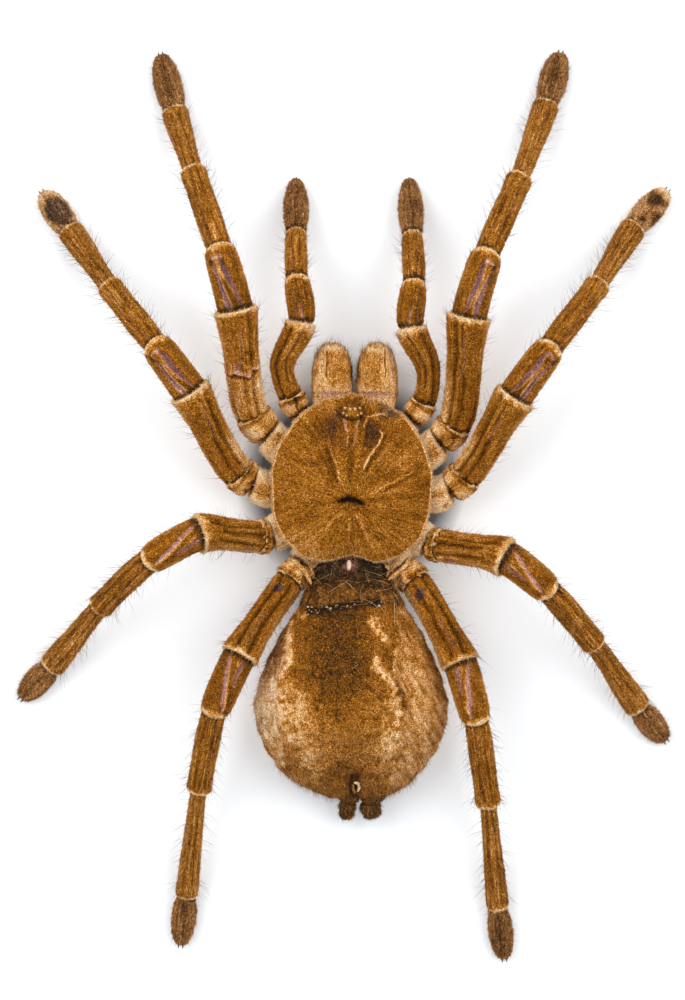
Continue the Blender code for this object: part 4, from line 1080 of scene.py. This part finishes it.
def abdomen():
    """The abdomen: rings along Y between an underside and a top, flat on the floor, sunk
    along two long folds and puckered with noise; the waist runs into the body in front."""
    rng = seeded("abdomen")
    waist, sack = np.linspace(14.9, 18.2, 8), np.linspace(18.3, 70.3, 150)
    back = np.unique(np.concatenate([waist, sack, [70.1, 70.25]]))
    t, a = grid(back, ring_angles(250, 0.5)[::-1])
    wide, low, high, taper = profile_at(ABDOMEN_ROWS, t)
    px, pz = squarer(np.cos(a), 2.3), squarer(np.sin(a), 2.3)
    x = wide * px * (1 - taper * (1 - pz) / 2) + 1.0 * smooth(t, 64.5, 69.5)
    middle, half = low + (high - low) * 0.45, (high - low) / 2
    z = middle + half * pz * np.where(pz > 0, 1.1, 0.9)
    roof = np.maximum(pz, 0) * smooth(wide, 13, 17)
    left_fold, _ = near_path(x, -t, [(-12.0, -28.0), (-11.8, -40.0), (-12.6, -52.0)])
    right_fold, _ = near_path(x, -t, [(11.6, -40.0), (13.2, -47.5), (13.6, -52.0)])
    edge_fold, _ = near_path(x, -t, [(-17.2, -32.0), (-18.9, -42.0), (-19.2, -46.0)])
    z = z - roof * (0.9 * bell(left_fold, 2.2) + 1.2 * bell(right_fold, 1.0) + 1.0 * bell(edge_fold, 1.3))
    points = np.stack([x, -t, z], -1)
    for path, wide_ridge, strength in PALE_RIDGES:
        points[..., 2] += 0.45 * strength * roof * bell(near_path(points[..., 0], -t, path)[0], wide_ridge)
    crease = 1 - np.abs(layered_noise(points + 40, 3.2))
    grow = 0.40 * layered_noise(points + 17, 7.0) + 0.16 * layered_noise(points, 2.0)
    grow = grow + 0.10 * noise(points, 0.8)
    grow = grow - 0.30 * smooth(crease, 0.9, 1.0) * np.maximum(pz, 0)
    grow = grow + 0.35 * noise(points + 71, 1.7) * smooth(np.abs(px), 0.85, 0.97) * smooth(t, 40, 46)
    grow = grow + 0.5 * within(t, 18.5, 24.0, 0.8) * noise(points * np.array([1.0, 0.35, 1.0]) + 55, 1.2)
    normal, _ = normals_of(points)
    points = points + normal * (grow * smooth(wide, 5, 14))[..., None]
    ragged_x, ragged_y = points[..., 0] + 0.4 * noise(points, 1.3), -t + 0.5 * noise(points + 5, 1.3)
    away, run = near_path(ragged_x, ragged_y, SLIT_PATH)
    slit = bell(away, 0.75) * smooth(run, 0.0, 0.08) * (1 - smooth(run, 0.92, 1.0)) * (pz > 0)
    notch_x = points[..., 0] - 0.5 + 0.35 * noise(points + 44, 1.3)
    groove = smooth(np.abs(notch_x), 2.1, 1.0) * (pz > 0)
    groove = groove * smooth(t + 0.8 * noise(points + 47, 1.2), 63.0, 64.8)
    points[..., 2] -= 1.0 * slit + 1.4 * groove
    points[..., 2] = np.maximum(points[..., 2], 0.02)
    tone, grey = abdomen_look(points, slit, groove, crease)
    density = 8.5 * smooth(points[..., 2], 0.1, 0.6) * smooth(t, 17.0, 18.5) * (1 - 0.9 * slit)
    sack = shell(points, tone, grey, 0.0, 0.55, density, first=(0, -14.9, 8.8), last=(1.0, -70.35, 6.6))
    hairs = [velvet(sack, rng, 0.8, 0.35)]
    normal, _ = normals_of(points)
    above = smooth(normal[..., 2], -0.2, 0.3)
    flap = within(t, 18.5, 24.6, 0.8) * above
    hairs.append(threads(sack, rng, 0.26 * flap, 6.5, 0.74, 0.35))
    hairs.append(bristles(sack, rng, 0.5 * flap, 3.0, 0.2, 0.4, 0.3, -0.4))
    hairs.append(threads(sack, rng, 0.05 * above * smooth(t, 26, 30), 1.6, 0.80, 0.3, width=0.07))
    sides = smooth(np.abs(normal[..., 2]), 0.6, 0.1) * smooth(t, 25, 30)
    hairs.append(bristles(sack, rng, 0.5 * sides, 1.7, 0.55, 0.4, 0.8, 0.4, width=0.07))
    rear = smooth(t, 60, 67) * (np.abs(normal[..., 2]) < 0.8)
    hairs.append(bristles(sack, rng, 1.6 * rear, 2.0, 0.45, 0.3, 0.7, 0.6, width=0.08))
    roll = waist_roll()
    hairs.append(threads(roll, rng, 0.35, 4.0, 0.72, 0.75, width=0.08))
    hairs.append(velvet(roll, rng, 0.6, 0.2, 0.10))
    collar = ball((4.9, -69.9, 8.4), (3.0, 2.1, 2.0), 0.24, 0.3, rings=20, sides=30, lumps=0.35, density=5.0)
    collar_left = ball((-0.6, -70.2, 7.4), (2.4, 1.7, 1.9), 0.30, 0.3, rings=18, sides=26, lumps=0.3,
                       density=5.0)
    hairs += [velvet(collar, rng), velvet(collar_left, rng)]
    knob = ball((-0.6, -15.3, 12.6), (0.65, 1.3, 0.75), 0.92, 0.2, bare=0.5, lumps=0.4)
    seat = ball((-0.3, -15.6, 11.7), (2.1, 1.6, 1.3), 0.26, 0.1, rings=20, sides=28, bare=0.5, lumps=0.4)
    crumbs = [tube(*fold) for fold in WAIST_FOLDS]
    slit_x, slit_y = zip(*SLIT_PATH)
    for share in rng.random(34):
        at = np.interp(share, np.linspace(0, 1, len(SLIT_PATH)), slit_x)
        line = np.interp(at, slit_x, slit_y) + rng.normal() * 0.45
        near = np.argmin(np.hypot(points[..., 0] - at, points[..., 1] - line) + 9.0 * (pz < 0))
        spot = points.reshape(-1, 3)[near] + [0, 0, 0.1]
        crumbs.append(crumb(spot, rng.uniform(0.10, 0.36), rng.uniform(0.45, 0.90), 0.8))
    shells = [sack, roll, collar, collar_left, seat, knob] + crumbs
    dress("abdomen", "abdomen", shells, hairs, rng)


def abdomen_look(points, slit, groove, crease):
    """Tone and grey of the abdomen: a brown middle that pales backwards, cream ridges, a
    greyer left flank, a tan right one and a dark front flap, all with ragged edges."""
    x, y = points[..., 0], points[..., 1]
    wx = x + 0.8 * noise(points + 5, 4.0) + 0.6 * noise(points + 66, 1.4) + 0.35 * noise(points + 81, 0.5)
    wy = y + 1.0 * noise(points + 35, 4.0) + 0.6 * noise(points + 12, 1.4) + 0.35 * noise(points + 27, 0.5)
    cloud = layered_noise(points + 60, 5.0)
    mottle = layered_noise(points + 90, 1.6)
    lengthwise = noise(points * np.array([1.0, 0.22, 1.0]) + 33, 0.8)
    slanted = noise(np.stack([x + 0.5 * y, 0.25 * (y - 0.5 * x), 0 * x], -1) + 21, 0.7)
    left_line = np.interp(y, [p[1] for p in LEFT_RIDGE][::-1], [p[0] for p in LEFT_RIDGE][::-1])
    right_line = np.interp(-y, [26.0, 33.0, 41.0, 47.0, 58.0, 66.0], [9.5, 10.2, 10.6, 12.6, 12.2, 8.0])
    tone = 0.47 - 0.20 * np.exp(-(((wx + 3.0) / 7.6) ** 2 + ((wy + 33.5) / 15.0) ** 2) ** 1.5)
    tone = tone + 0.05 * within(-wy, 50, 59, 4.0) - 0.06 * patch(wx, wy, (-4.0, -62.5), (8.0, 3.0))
    flank_right = smooth(wx - right_line, -0.4, 1.2)
    behind = smooth(-wy, 34.0, 42.0)
    flank_left = 1 - smooth(wx - left_line, -1.4, -0.4)
    right_tone = 0.56 + 0.13 * behind + 0.15 * slanted - 0.07 * smooth(x, 17, 21)
    left_tone = 0.50 + 0.30 * smooth(-wy, 36, 44)
    left_tone = left_tone + 0.24 * smooth(lengthwise, 0.2, 0.65) - 0.18 * smooth(-lengthwise, 0.2, 0.6)
    tone = towards(towards(tone, right_tone, flank_right), left_tone, flank_left)
    for path, wide, strength in PALE_RIDGES:
        away, run = near_path(wx, wy, path)
        ridge = bell(away, wide) * smooth(run, 0, 0.08) * (1 - smooth(run, 0.85, 1))
        ridge = ridge * smooth(mottle, -0.75, -0.1)
        ragged = smooth(noise(points + 51, 0.8) + 0.9 * mottle, -0.5, 0.15)
        strength = strength * (0.78 + 0.22 * behind) * (1 - 0.4 * smooth(-wy, 58, 63))
        tone = towards(tone, 0.89, np.clip(1.35 * strength * ridge * (0.25 + 0.75 * ragged), 0, 1))
    dark_fold, run = near_path(wx, wy, [(9.4, -41.5), (11.6, -45.0), (12.9, -49.0)])
    wedge = bell(dark_fold, 0.45) * within(run, 0.05, 0.95, 0.1)
    tone = tone - 0.34 * wedge
    warts = patch(wx, wy, (-21.0, -49.2), (2.2, 2.2)) + 0.9 * patch(wx, wy, (-18.9, -46.8), (1.2, 1.8))
    warts = warts + 0.7 * patch(wx, wy, (-17.6, -53.5), (1.2, 3.2))
    tone = towards(tone, 0.92, np.clip(warts, 0, 1) * smooth(mottle, -0.5, 0.2))
    lower_edge = smooth(-x, 15.0, 17.5) * smooth(-wy, 53, 58) + smooth(-x, 8.0, 12.0) * smooth(-wy, 63.5, 66)
    lower_edge = np.clip(lower_edge, 0, 1)
    tone = towards(tone, 0.63 + 0.14 * mottle, 0.85 * lower_edge)
    tone = tone + 0.06 * cloud + 0.05 * mottle
    tone = tone - 0.14 * smooth(crease, 0.92, 1.0)
    tone = tone - 0.03 * (1 - smooth(-wy, 26, 32))
    flap = 1 - smooth(-wy, 24.0, 25.2)
    flap_tone = 0.30 + 0.22 * mottle + 0.16 * lengthwise - 0.16 * smooth(-wy, 21.5, 18.5)
    tone = towards(tone, flap_tone, flap) - 0.48 * slit
    tone = towards(tone, 0.10 + 0.14 * mottle, 0.9 * groove)
    grey = 0.04 + 0.30 * flank_left * (1 - lower_edge) + 0.12 * flap + 0.05 * flank_right + 0.3 * wedge
    return tone, grey + 0.10 * smooth(-wy, 50, 60)


# Folds of pale skin beside the waist and a shiny scrap in the rear groove: a path, its
# radius, tone and grey
WAIST_FOLDS = [
    ([(-14.4, -13.4, 11.4), (-12.8, -15.0, 12.3), (-10.8, -17.0, 13.0), (-9.4, -19.8, 14.2)],
     0.50, 0.66, 0.2),
    ([(-13.4, -15.4, 10.8), (-12.2, -17.0, 11.6), (-10.9, -19.6, 12.4), (-9.8, -21.6, 14.4)],
     0.60, 0.42, 0.3),
    ([(-10.4, -14.4, 12.2), (-9.3, -16.4, 12.8), (-8.8, -18.4, 13.6)], 0.35, 0.52, 0.4),
    ([(13.9, -13.2, 11.4), (12.9, -15.2, 12.2), (10.9, -17.0, 12.9), (8.6, -18.8, 14.2)], 0.50, 0.68, 0.2),
    ([(13.3, -15.2, 10.8), (12.2, -17.2, 11.5), (10.8, -19.4, 12.6), (10.0, -21.4, 14.0)], 0.60, 0.44, 0.3),
    ([(10.2, -14.2, 12.2), (9.2, -16.2, 12.7), (8.2, -18.0, 13.4)], 0.35, 0.54, 0.4),
    ([(0.5, -66.3, 14.6), (1.6, -66.4, 14.5), (1.9, -67.4, 13.8), (1.4, -68.6, 12.6)], 0.34, 0.92, 0.4),
    ([(0.3, -66.6, 14.4), (0.4, -67.8, 13.6), (0.9, -69.0, 12.2)], 0.30, 0.55, 0.4),
    ([(-0.9, -65.0, 15.2), (-1.0, -67.0, 13.8), (-0.7, -69.2, 11.6)], 0.36, 0.30, 0.2),
]


def tube(path, radius, tone, grey):
    """A lumpy tube along a path of places, rounded off at both ends."""
    places = np.array(path, float)
    t, a = grid(np.linspace(0, 1, 26), ring_angles(16))
    axis = np.stack([np.interp(t, np.linspace(0, 1, len(places)), places[:, k]) for k in range(3)], -1)
    round_off = np.sqrt(np.clip(1 - np.abs(2 * t - 1) ** 4, 0.03, 1))
    lumps = layered_noise(axis + 5.0 * np.stack([0 * t, np.cos(a), np.sin(a)], -1), 2.0)
    points = axis + oval(unit(np.gradient(axis, axis=0)), a, 2 * radius * round_off * (1 + 0.35 * lumps))
    return shell(points, tone + 0.2 * layered_noise(points, 1.4), grey, 0.0)


def waist_roll():
    """Crumpled dark tissue in the gap between shield and abdomen: a roll along X that droops
    at both ends."""
    t, a = grid(np.linspace(-13.0, 13.0, 120), ring_angles(52, 0.3))
    taper = np.sqrt(np.clip(1 - (t / 13.4) ** 2, 0.02, 1))
    y = -15.9 - 0.02 * t**2 - 2.7 * taper * np.cos(a)
    z = 11.0 - 0.016 * t**2 + 1.4 * taper * np.sin(a)
    points = np.stack([t, y, z], -1)
    lumps = layered_noise(points + 80, 1.7)
    normal, _ = normals_of(points)
    points = points + normal * (0.8 * lumps * taper)[..., None]
    tone = 0.08 + 0.30 * lumps + 0.22 * noise(points + 30, 0.7) + 0.30 * smooth(np.abs(t), 8.0, 11.0)
    return shell(points, tone, 0.45, 0.0, 0.6, 2.0)


def spinneret(name, root, root_radius, tip, tip_radius):
    """A stubby spinneret: circles along a short line, pinched where its two parts meet."""
    rng = seeded(name)
    root, tip = np.array(root), np.array(tip)
    t, a = grid(np.linspace(0, 1, 30), ring_angles(36))
    radius = profile_at([(0.0, root_radius * 0.9), (0.35, root_radius), (0.52, root_radius * 0.86),
                         (0.8, tip_radius), (0.93, tip_radius * 0.8), (1.0, tip_radius * 0.4)], t)[0]
    circle = oval(unit(tip - root), a, 2.0)
    points = root + (tip - root) * t[..., None] + circle * radius[..., None]
    points = points + circle * (0.25 * layered_noise(points, 1.6))[..., None]
    s = shell(points, 0.27 + 0.16 * layered_noise(points, 1.2), 0.3, 0.0, 0.8, 9.0)
    hairs = [velvet(s, rng, 1.0, 0.8), bristles(s, rng, 2.0, 1.4, 0.15, 0.3, 0.5, 0.8, width=0.07),
             bristles(s, rng, 0.8, 1.2, 0.65, 0.3, 0.5, 0.8, width=0.07)]
    dress(name, name, [s], hairs, rng)


def add(nodes, kind, values=None, **settings):
    """A shader node with its settings and the values of its inputs."""
    node = nodes.new("ShaderNode" + kind)
    for setting, value in settings.items():
        setattr(node, setting, value)
    for socket, value in (values or {}).items():
        node.inputs[socket].default_value = value
    return node


def wire(links, *routes):
    """Links one node's output to another's input, for each route of four."""
    for source, output, target, socket in routes:
        links.new(source.outputs[output], target.inputs[socket])


# Colours of hair and skin from tone 0 to 1, and of bare skin
TONE_STOPS = [
    (0.0, (0.012, 0.008, 0.004)),
    (0.18, (0.055, 0.024, 0.006)),
    (0.36, (0.166, 0.0545, 0.002)),
    (0.50, (0.328, 0.1085, 0.003)),
    (0.62, (0.480, 0.1810, 0.016)),
    (0.76, (0.665, 0.333, 0.088)),
    (0.88, (0.790, 0.530, 0.260)),
    (1.0, (0.920, 0.770, 0.540)),
]
BARE_STOPS = [
    (0.08, (0.045, 0.016, 0.014)),
    (0.32, (0.200, 0.070, 0.062)),
    (0.55, (0.430, 0.180, 0.145)),
    (0.80, (0.740, 0.480, 0.430)),
]


def coat_colours():
    """Node group: a tone and a grey make the colour of hair and skin."""
    group = bpy.data.node_groups.new("coat_colours", "ShaderNodeTree")
    for name in ("Tone", "Grey"):
        group.interface.new_socket(name, in_out="INPUT", socket_type="NodeSocketFloat")
    group.interface.new_socket("Colour", in_out="OUTPUT", socket_type="NodeSocketColor")
    nodes = group.nodes
    given, result = nodes.new("NodeGroupInput"), nodes.new("NodeGroupOutput")
    ramp = colour_ramp(nodes, TONE_STOPS)
    light = add(nodes, "RGBToBW")
    cool = add(nodes, "Mix", {"Factor": 1.0, "B": (1.0, 0.82, 0.66, 1.0)}, data_type="RGBA",
               blend_type="MULTIPLY")
    strength = add(nodes, "Math", {1: 0.75}, operation="MULTIPLY")
    mix = add(nodes, "Mix", data_type="RGBA")
    wire(group.links, (given, "Tone", ramp, "Fac"), (ramp, "Color", light, "Color"),
         (light, "Val", cool, "A"), (given, "Grey", strength, 0), (strength, "Value", mix, "Factor"),
         (ramp, "Color", mix, "A"), (cool, "Result", mix, "B"), (mix, "Result", result, "Colour"))
    return group


def colour_ramp(nodes, stops):
    """A colour ramp node with the given stops."""
    ramp = nodes.new("ShaderNodeValToRGB")
    for i, (place, colour) in enumerate(stops):
        stop = ramp.color_ramp.elements[i] if i < 2 else ramp.color_ramp.elements.new(place)
        stop.position, stop.color = place, (*colour, 1.0)
    return ramp


def named_material(name, roughness, specular):
    """A material with its nodes, links and shader, at the given gloss."""
    material = bpy.data.materials.new(name)
    material.use_nodes = True
    shader = material.node_tree.nodes["Principled BSDF"]
    shader.inputs["Roughness"].default_value = roughness
    shader.inputs["Specular IOR Level"].default_value = specular
    return material, material.node_tree.nodes, material.node_tree.links, shader


def add_scaled(nodes, links, value, factor, base):
    """value * factor + base, where base is a number or a socket."""
    node = add(nodes, "Math", {1: factor}, operation="MULTIPLY_ADD")
    links.new(value, node.inputs[0])
    if isinstance(base, float):
        node.inputs[2].default_value = base
    else:
        links.new(base, node.inputs[2])
    return node.outputs["Value"]


def skin_material(colours):
    """Skin under the velvet: its tone with a grain of two sizes, and smoother purple to pink
    where it is bare."""
    material, nodes, links, shader = named_material("velvet_skin", 0.85, 0.10)
    shader.inputs["Sheen Weight"].default_value = 0.04
    shader.inputs["Sheen Roughness"].default_value = 0.45
    shader.inputs["Sheen Tint"].default_value = (1.0, 0.78, 0.52, 1.0)
    marks = add(nodes, "Attribute", attribute_name="marks")
    parts, place = add(nodes, "SeparateColor"), add(nodes, "TexCoord")
    fine, coarse = (add(nodes, "TexNoise", {"Scale": scale, "Detail": detail})
                    for scale, detail in ((3700.0, 1.0), (1000.0, 2.0)))
    tone = add_scaled(nodes, links, fine.outputs["Fac"], 1.30, parts.outputs["Red"])
    tone = add_scaled(nodes, links, coarse.outputs["Fac"], 0.25, tone)
    centred = add_scaled(nodes, links, tone, 1.0, -0.79)
    colour = add(nodes, "Group", node_tree=colours)
    naked = colour_ramp(nodes, BARE_STOPS)
    bald = add(nodes, "Mix", data_type="RGBA")
    bump = add(nodes, "Bump", {"Strength": 0.5, "Distance": 0.00025})
    links.new(centred, colour.inputs["Tone"])
    links.new(centred, naked.inputs["Fac"])
    for factor, base, socket in ((-0.5, 0.85, "Roughness"), (0.35, 0.08, "Specular IOR Level")):
        links.new(add_scaled(nodes, links, parts.outputs["Blue"], factor, base), shader.inputs[socket])
    wire(links, (marks, "Color", parts, "Color"), (place, "Object", fine, "Vector"),
         (place, "Object", coarse, "Vector"), (parts, "Green", colour, "Grey"),
         (parts, "Blue", bald, "Factor"), (colour, "Colour", bald, "A"), (naked, "Color", bald, "B"),
         (bald, "Result", shader, "Base Color"), (fine, "Fac", bump, "Height"),
         (bump, "Normal", shader, "Normal"))
    return material


def hair_material(colours):
    """Hairs: the map's tone across and grey up, with a soft gloss."""
    material, nodes, links, shader = named_material("velvet_hair", 0.80, 0.03)
    chart = add(nodes, "UVMap", uv_map="OFBake")
    parts = add(nodes, "SeparateXYZ")
    colour = add(nodes, "Group", node_tree=colours)
    wire(links, (chart, "UV", parts, "Vector"), (parts, "X", colour, "Tone"),
         (parts, "Y", colour, "Grey"), (colour, "Colour", shader, "Base Color"))
    return material


def grained_material(name, roughness, specular, scale, dark, light):
    """Hard glossy matter whose colour runs from dark to light with a noise."""
    material, nodes, links, shader = named_material(name, roughness, specular)
    place = add(nodes, "TexCoord")
    grain = add(nodes, "TexNoise", {"Scale": scale})
    ramp = colour_ramp(nodes, [(0.3, dark), (0.7, light)])
    wire(links, (place, "Object", grain, "Vector"), (grain, "Fac", ramp, "Fac"),
         (ramp, "Color", shader, "Base Color"))
    return material


def place_in_scene(name, data, location=(0.0, 0.0, 0.0)):
    """A scene object that holds the given mesh, lamp or camera."""
    thing = bpy.data.objects.new(name, data)
    thing.location = location
    bpy.context.scene.collection.objects.link(thing)
    return thing


def paper_material():
    """Pale paper with painted light: it glows a little, which lifts the shadows on it, and an oval of painted
    shadow darkens it under the body so that the gaps stay deep.
    """
    paper, nodes, links, shader = named_material("paper", 0.9, 0.1)
    place = add(nodes, "TexCoord")
    middle = (-shift[0] / PAINTED_SHADOW_REACH[0], -(shift[1] + 4.0) / PAINTED_SHADOW_REACH[1], 0.0)
    painted_shadow_oval = add(nodes, "Mapping", {"Location": middle, "Scale": (*(1000 / r for r in PAINTED_SHADOW_REACH), 0.0)})
    near = add(nodes, "TexGradient", gradient_type="SPHERICAL")
    ramp = colour_ramp(nodes, [(0.43, (0.80, 0.82, 0.845)), (0.55, (0.11, 0.11, 0.12))])
    wire(links, (place, "Object", painted_shadow_oval, "Vector"), (painted_shadow_oval, "Vector", near, "Vector"),
         (near, "Fac", ramp, "Fac"), (ramp, "Color", shader, "Base Color"),
         (ramp, "Color", shader, "Emission Color"))
    # The glow is painted light that lifts the shadows on the floor
    shader.inputs["Emission Strength"].default_value = 0.18
    return paper


def studio():
    """A pale floor, two broad soft lamps, an even surround, and the camera overhead."""
    scene = bpy.context.scene
    corners = [(-3, -3, -0.0001), (3, -3, -0.0001), (3, 3, -0.0001), (-3, 3, -0.0001)]
    floor_mesh = bpy.data.meshes.new("floor")
    floor_mesh.from_pydata(corners, [], [(0, 1, 2, 3)])
    floor_mesh.materials.append(paper_material())
    floor = place_in_scene("floor", floor_mesh)

    world = bpy.data.worlds.new("surround")
    world.use_nodes = True
    surround = world.node_tree.nodes["Background"].inputs
    surround["Color"].default_value = (0.915, 0.965, 1.0, 1)
    surround["Strength"].default_value = 0.60
    scene.world = world
    for name, place, power, colour in (("left", (-0.85, 0.50, 1.15), 16.2, (1.0, 0.992, 0.975)),
                                       ("right", (0.85, 0.35, 1.15), 14.2, (1.0, 0.995, 0.98))):
        lamp = bpy.data.lights.new(name, "AREA")
        lamp.shape, lamp.size, lamp.energy, lamp.color = "SQUARE", 1.3, power, colour
        light = place_in_scene(name, lamp, place)
        to = -np.array(place)
        tilt, turn = math.acos(-to[2] / np.linalg.norm(to)), math.atan2(to[1], to[0]) - math.pi / 2
        light.rotation_euler = (tilt, 0.0, turn)

    camera_data = bpy.data.cameras.new("camera")
    camera_data.sensor_fit = "VERTICAL"
    camera_data.sensor_height = SENSOR_HEIGHT
    camera_data.lens = SENSOR_HEIGHT * 1000.0 / VIEW_HEIGHT
    camera_data.clip_start, camera_data.clip_end = 0.05, 10.0
    scene.camera = place_in_scene("camera", camera_data, ((shift[0] - 2.11) * MM, shift[1] * MM, 1.0))
    scene.view_settings.view_transform = "Standard"


# The solids stand centred on the origin: the shift from the limb's own numbers to theirs
low, high = (np.array(v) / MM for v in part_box("abdomen"))
shift = np.array([(low[0] + high[0]) / 2, low[1] + 70.4, 0.0])

colours = coat_colours()
velvet_skin = skin_material(colours)
velvet_hair = hair_material(colours)
horn = grained_material("black_horn", 0.28, 0.5, 700.0, (0.006, 0.004, 0.004), (0.05, 0.022, 0.012))
eye_glass = grained_material("eye_beads", 0.08, 0.8, 1500.0, (0.20, 0.08, 0.01), (0.70, 0.40, 0.12))
carapace()
trunk()
abdomen()
for limb_name in JOINTS:
    limb(limb_name)
for side, centre in (("left", -4.55), ("right", 6.0)):
    jaw(side, centre)
    fang(side, centre)
spinneret("spinneret_left", (-0.9, -71.3, 6.8), 1.9, (-1.1, -75.3, 5.4), 1.7)
spinneret("spinneret_right", (4.3, -71.6, 7.2), 2.5, (5.0, -74.9, 6.0), 2.1)
studio()
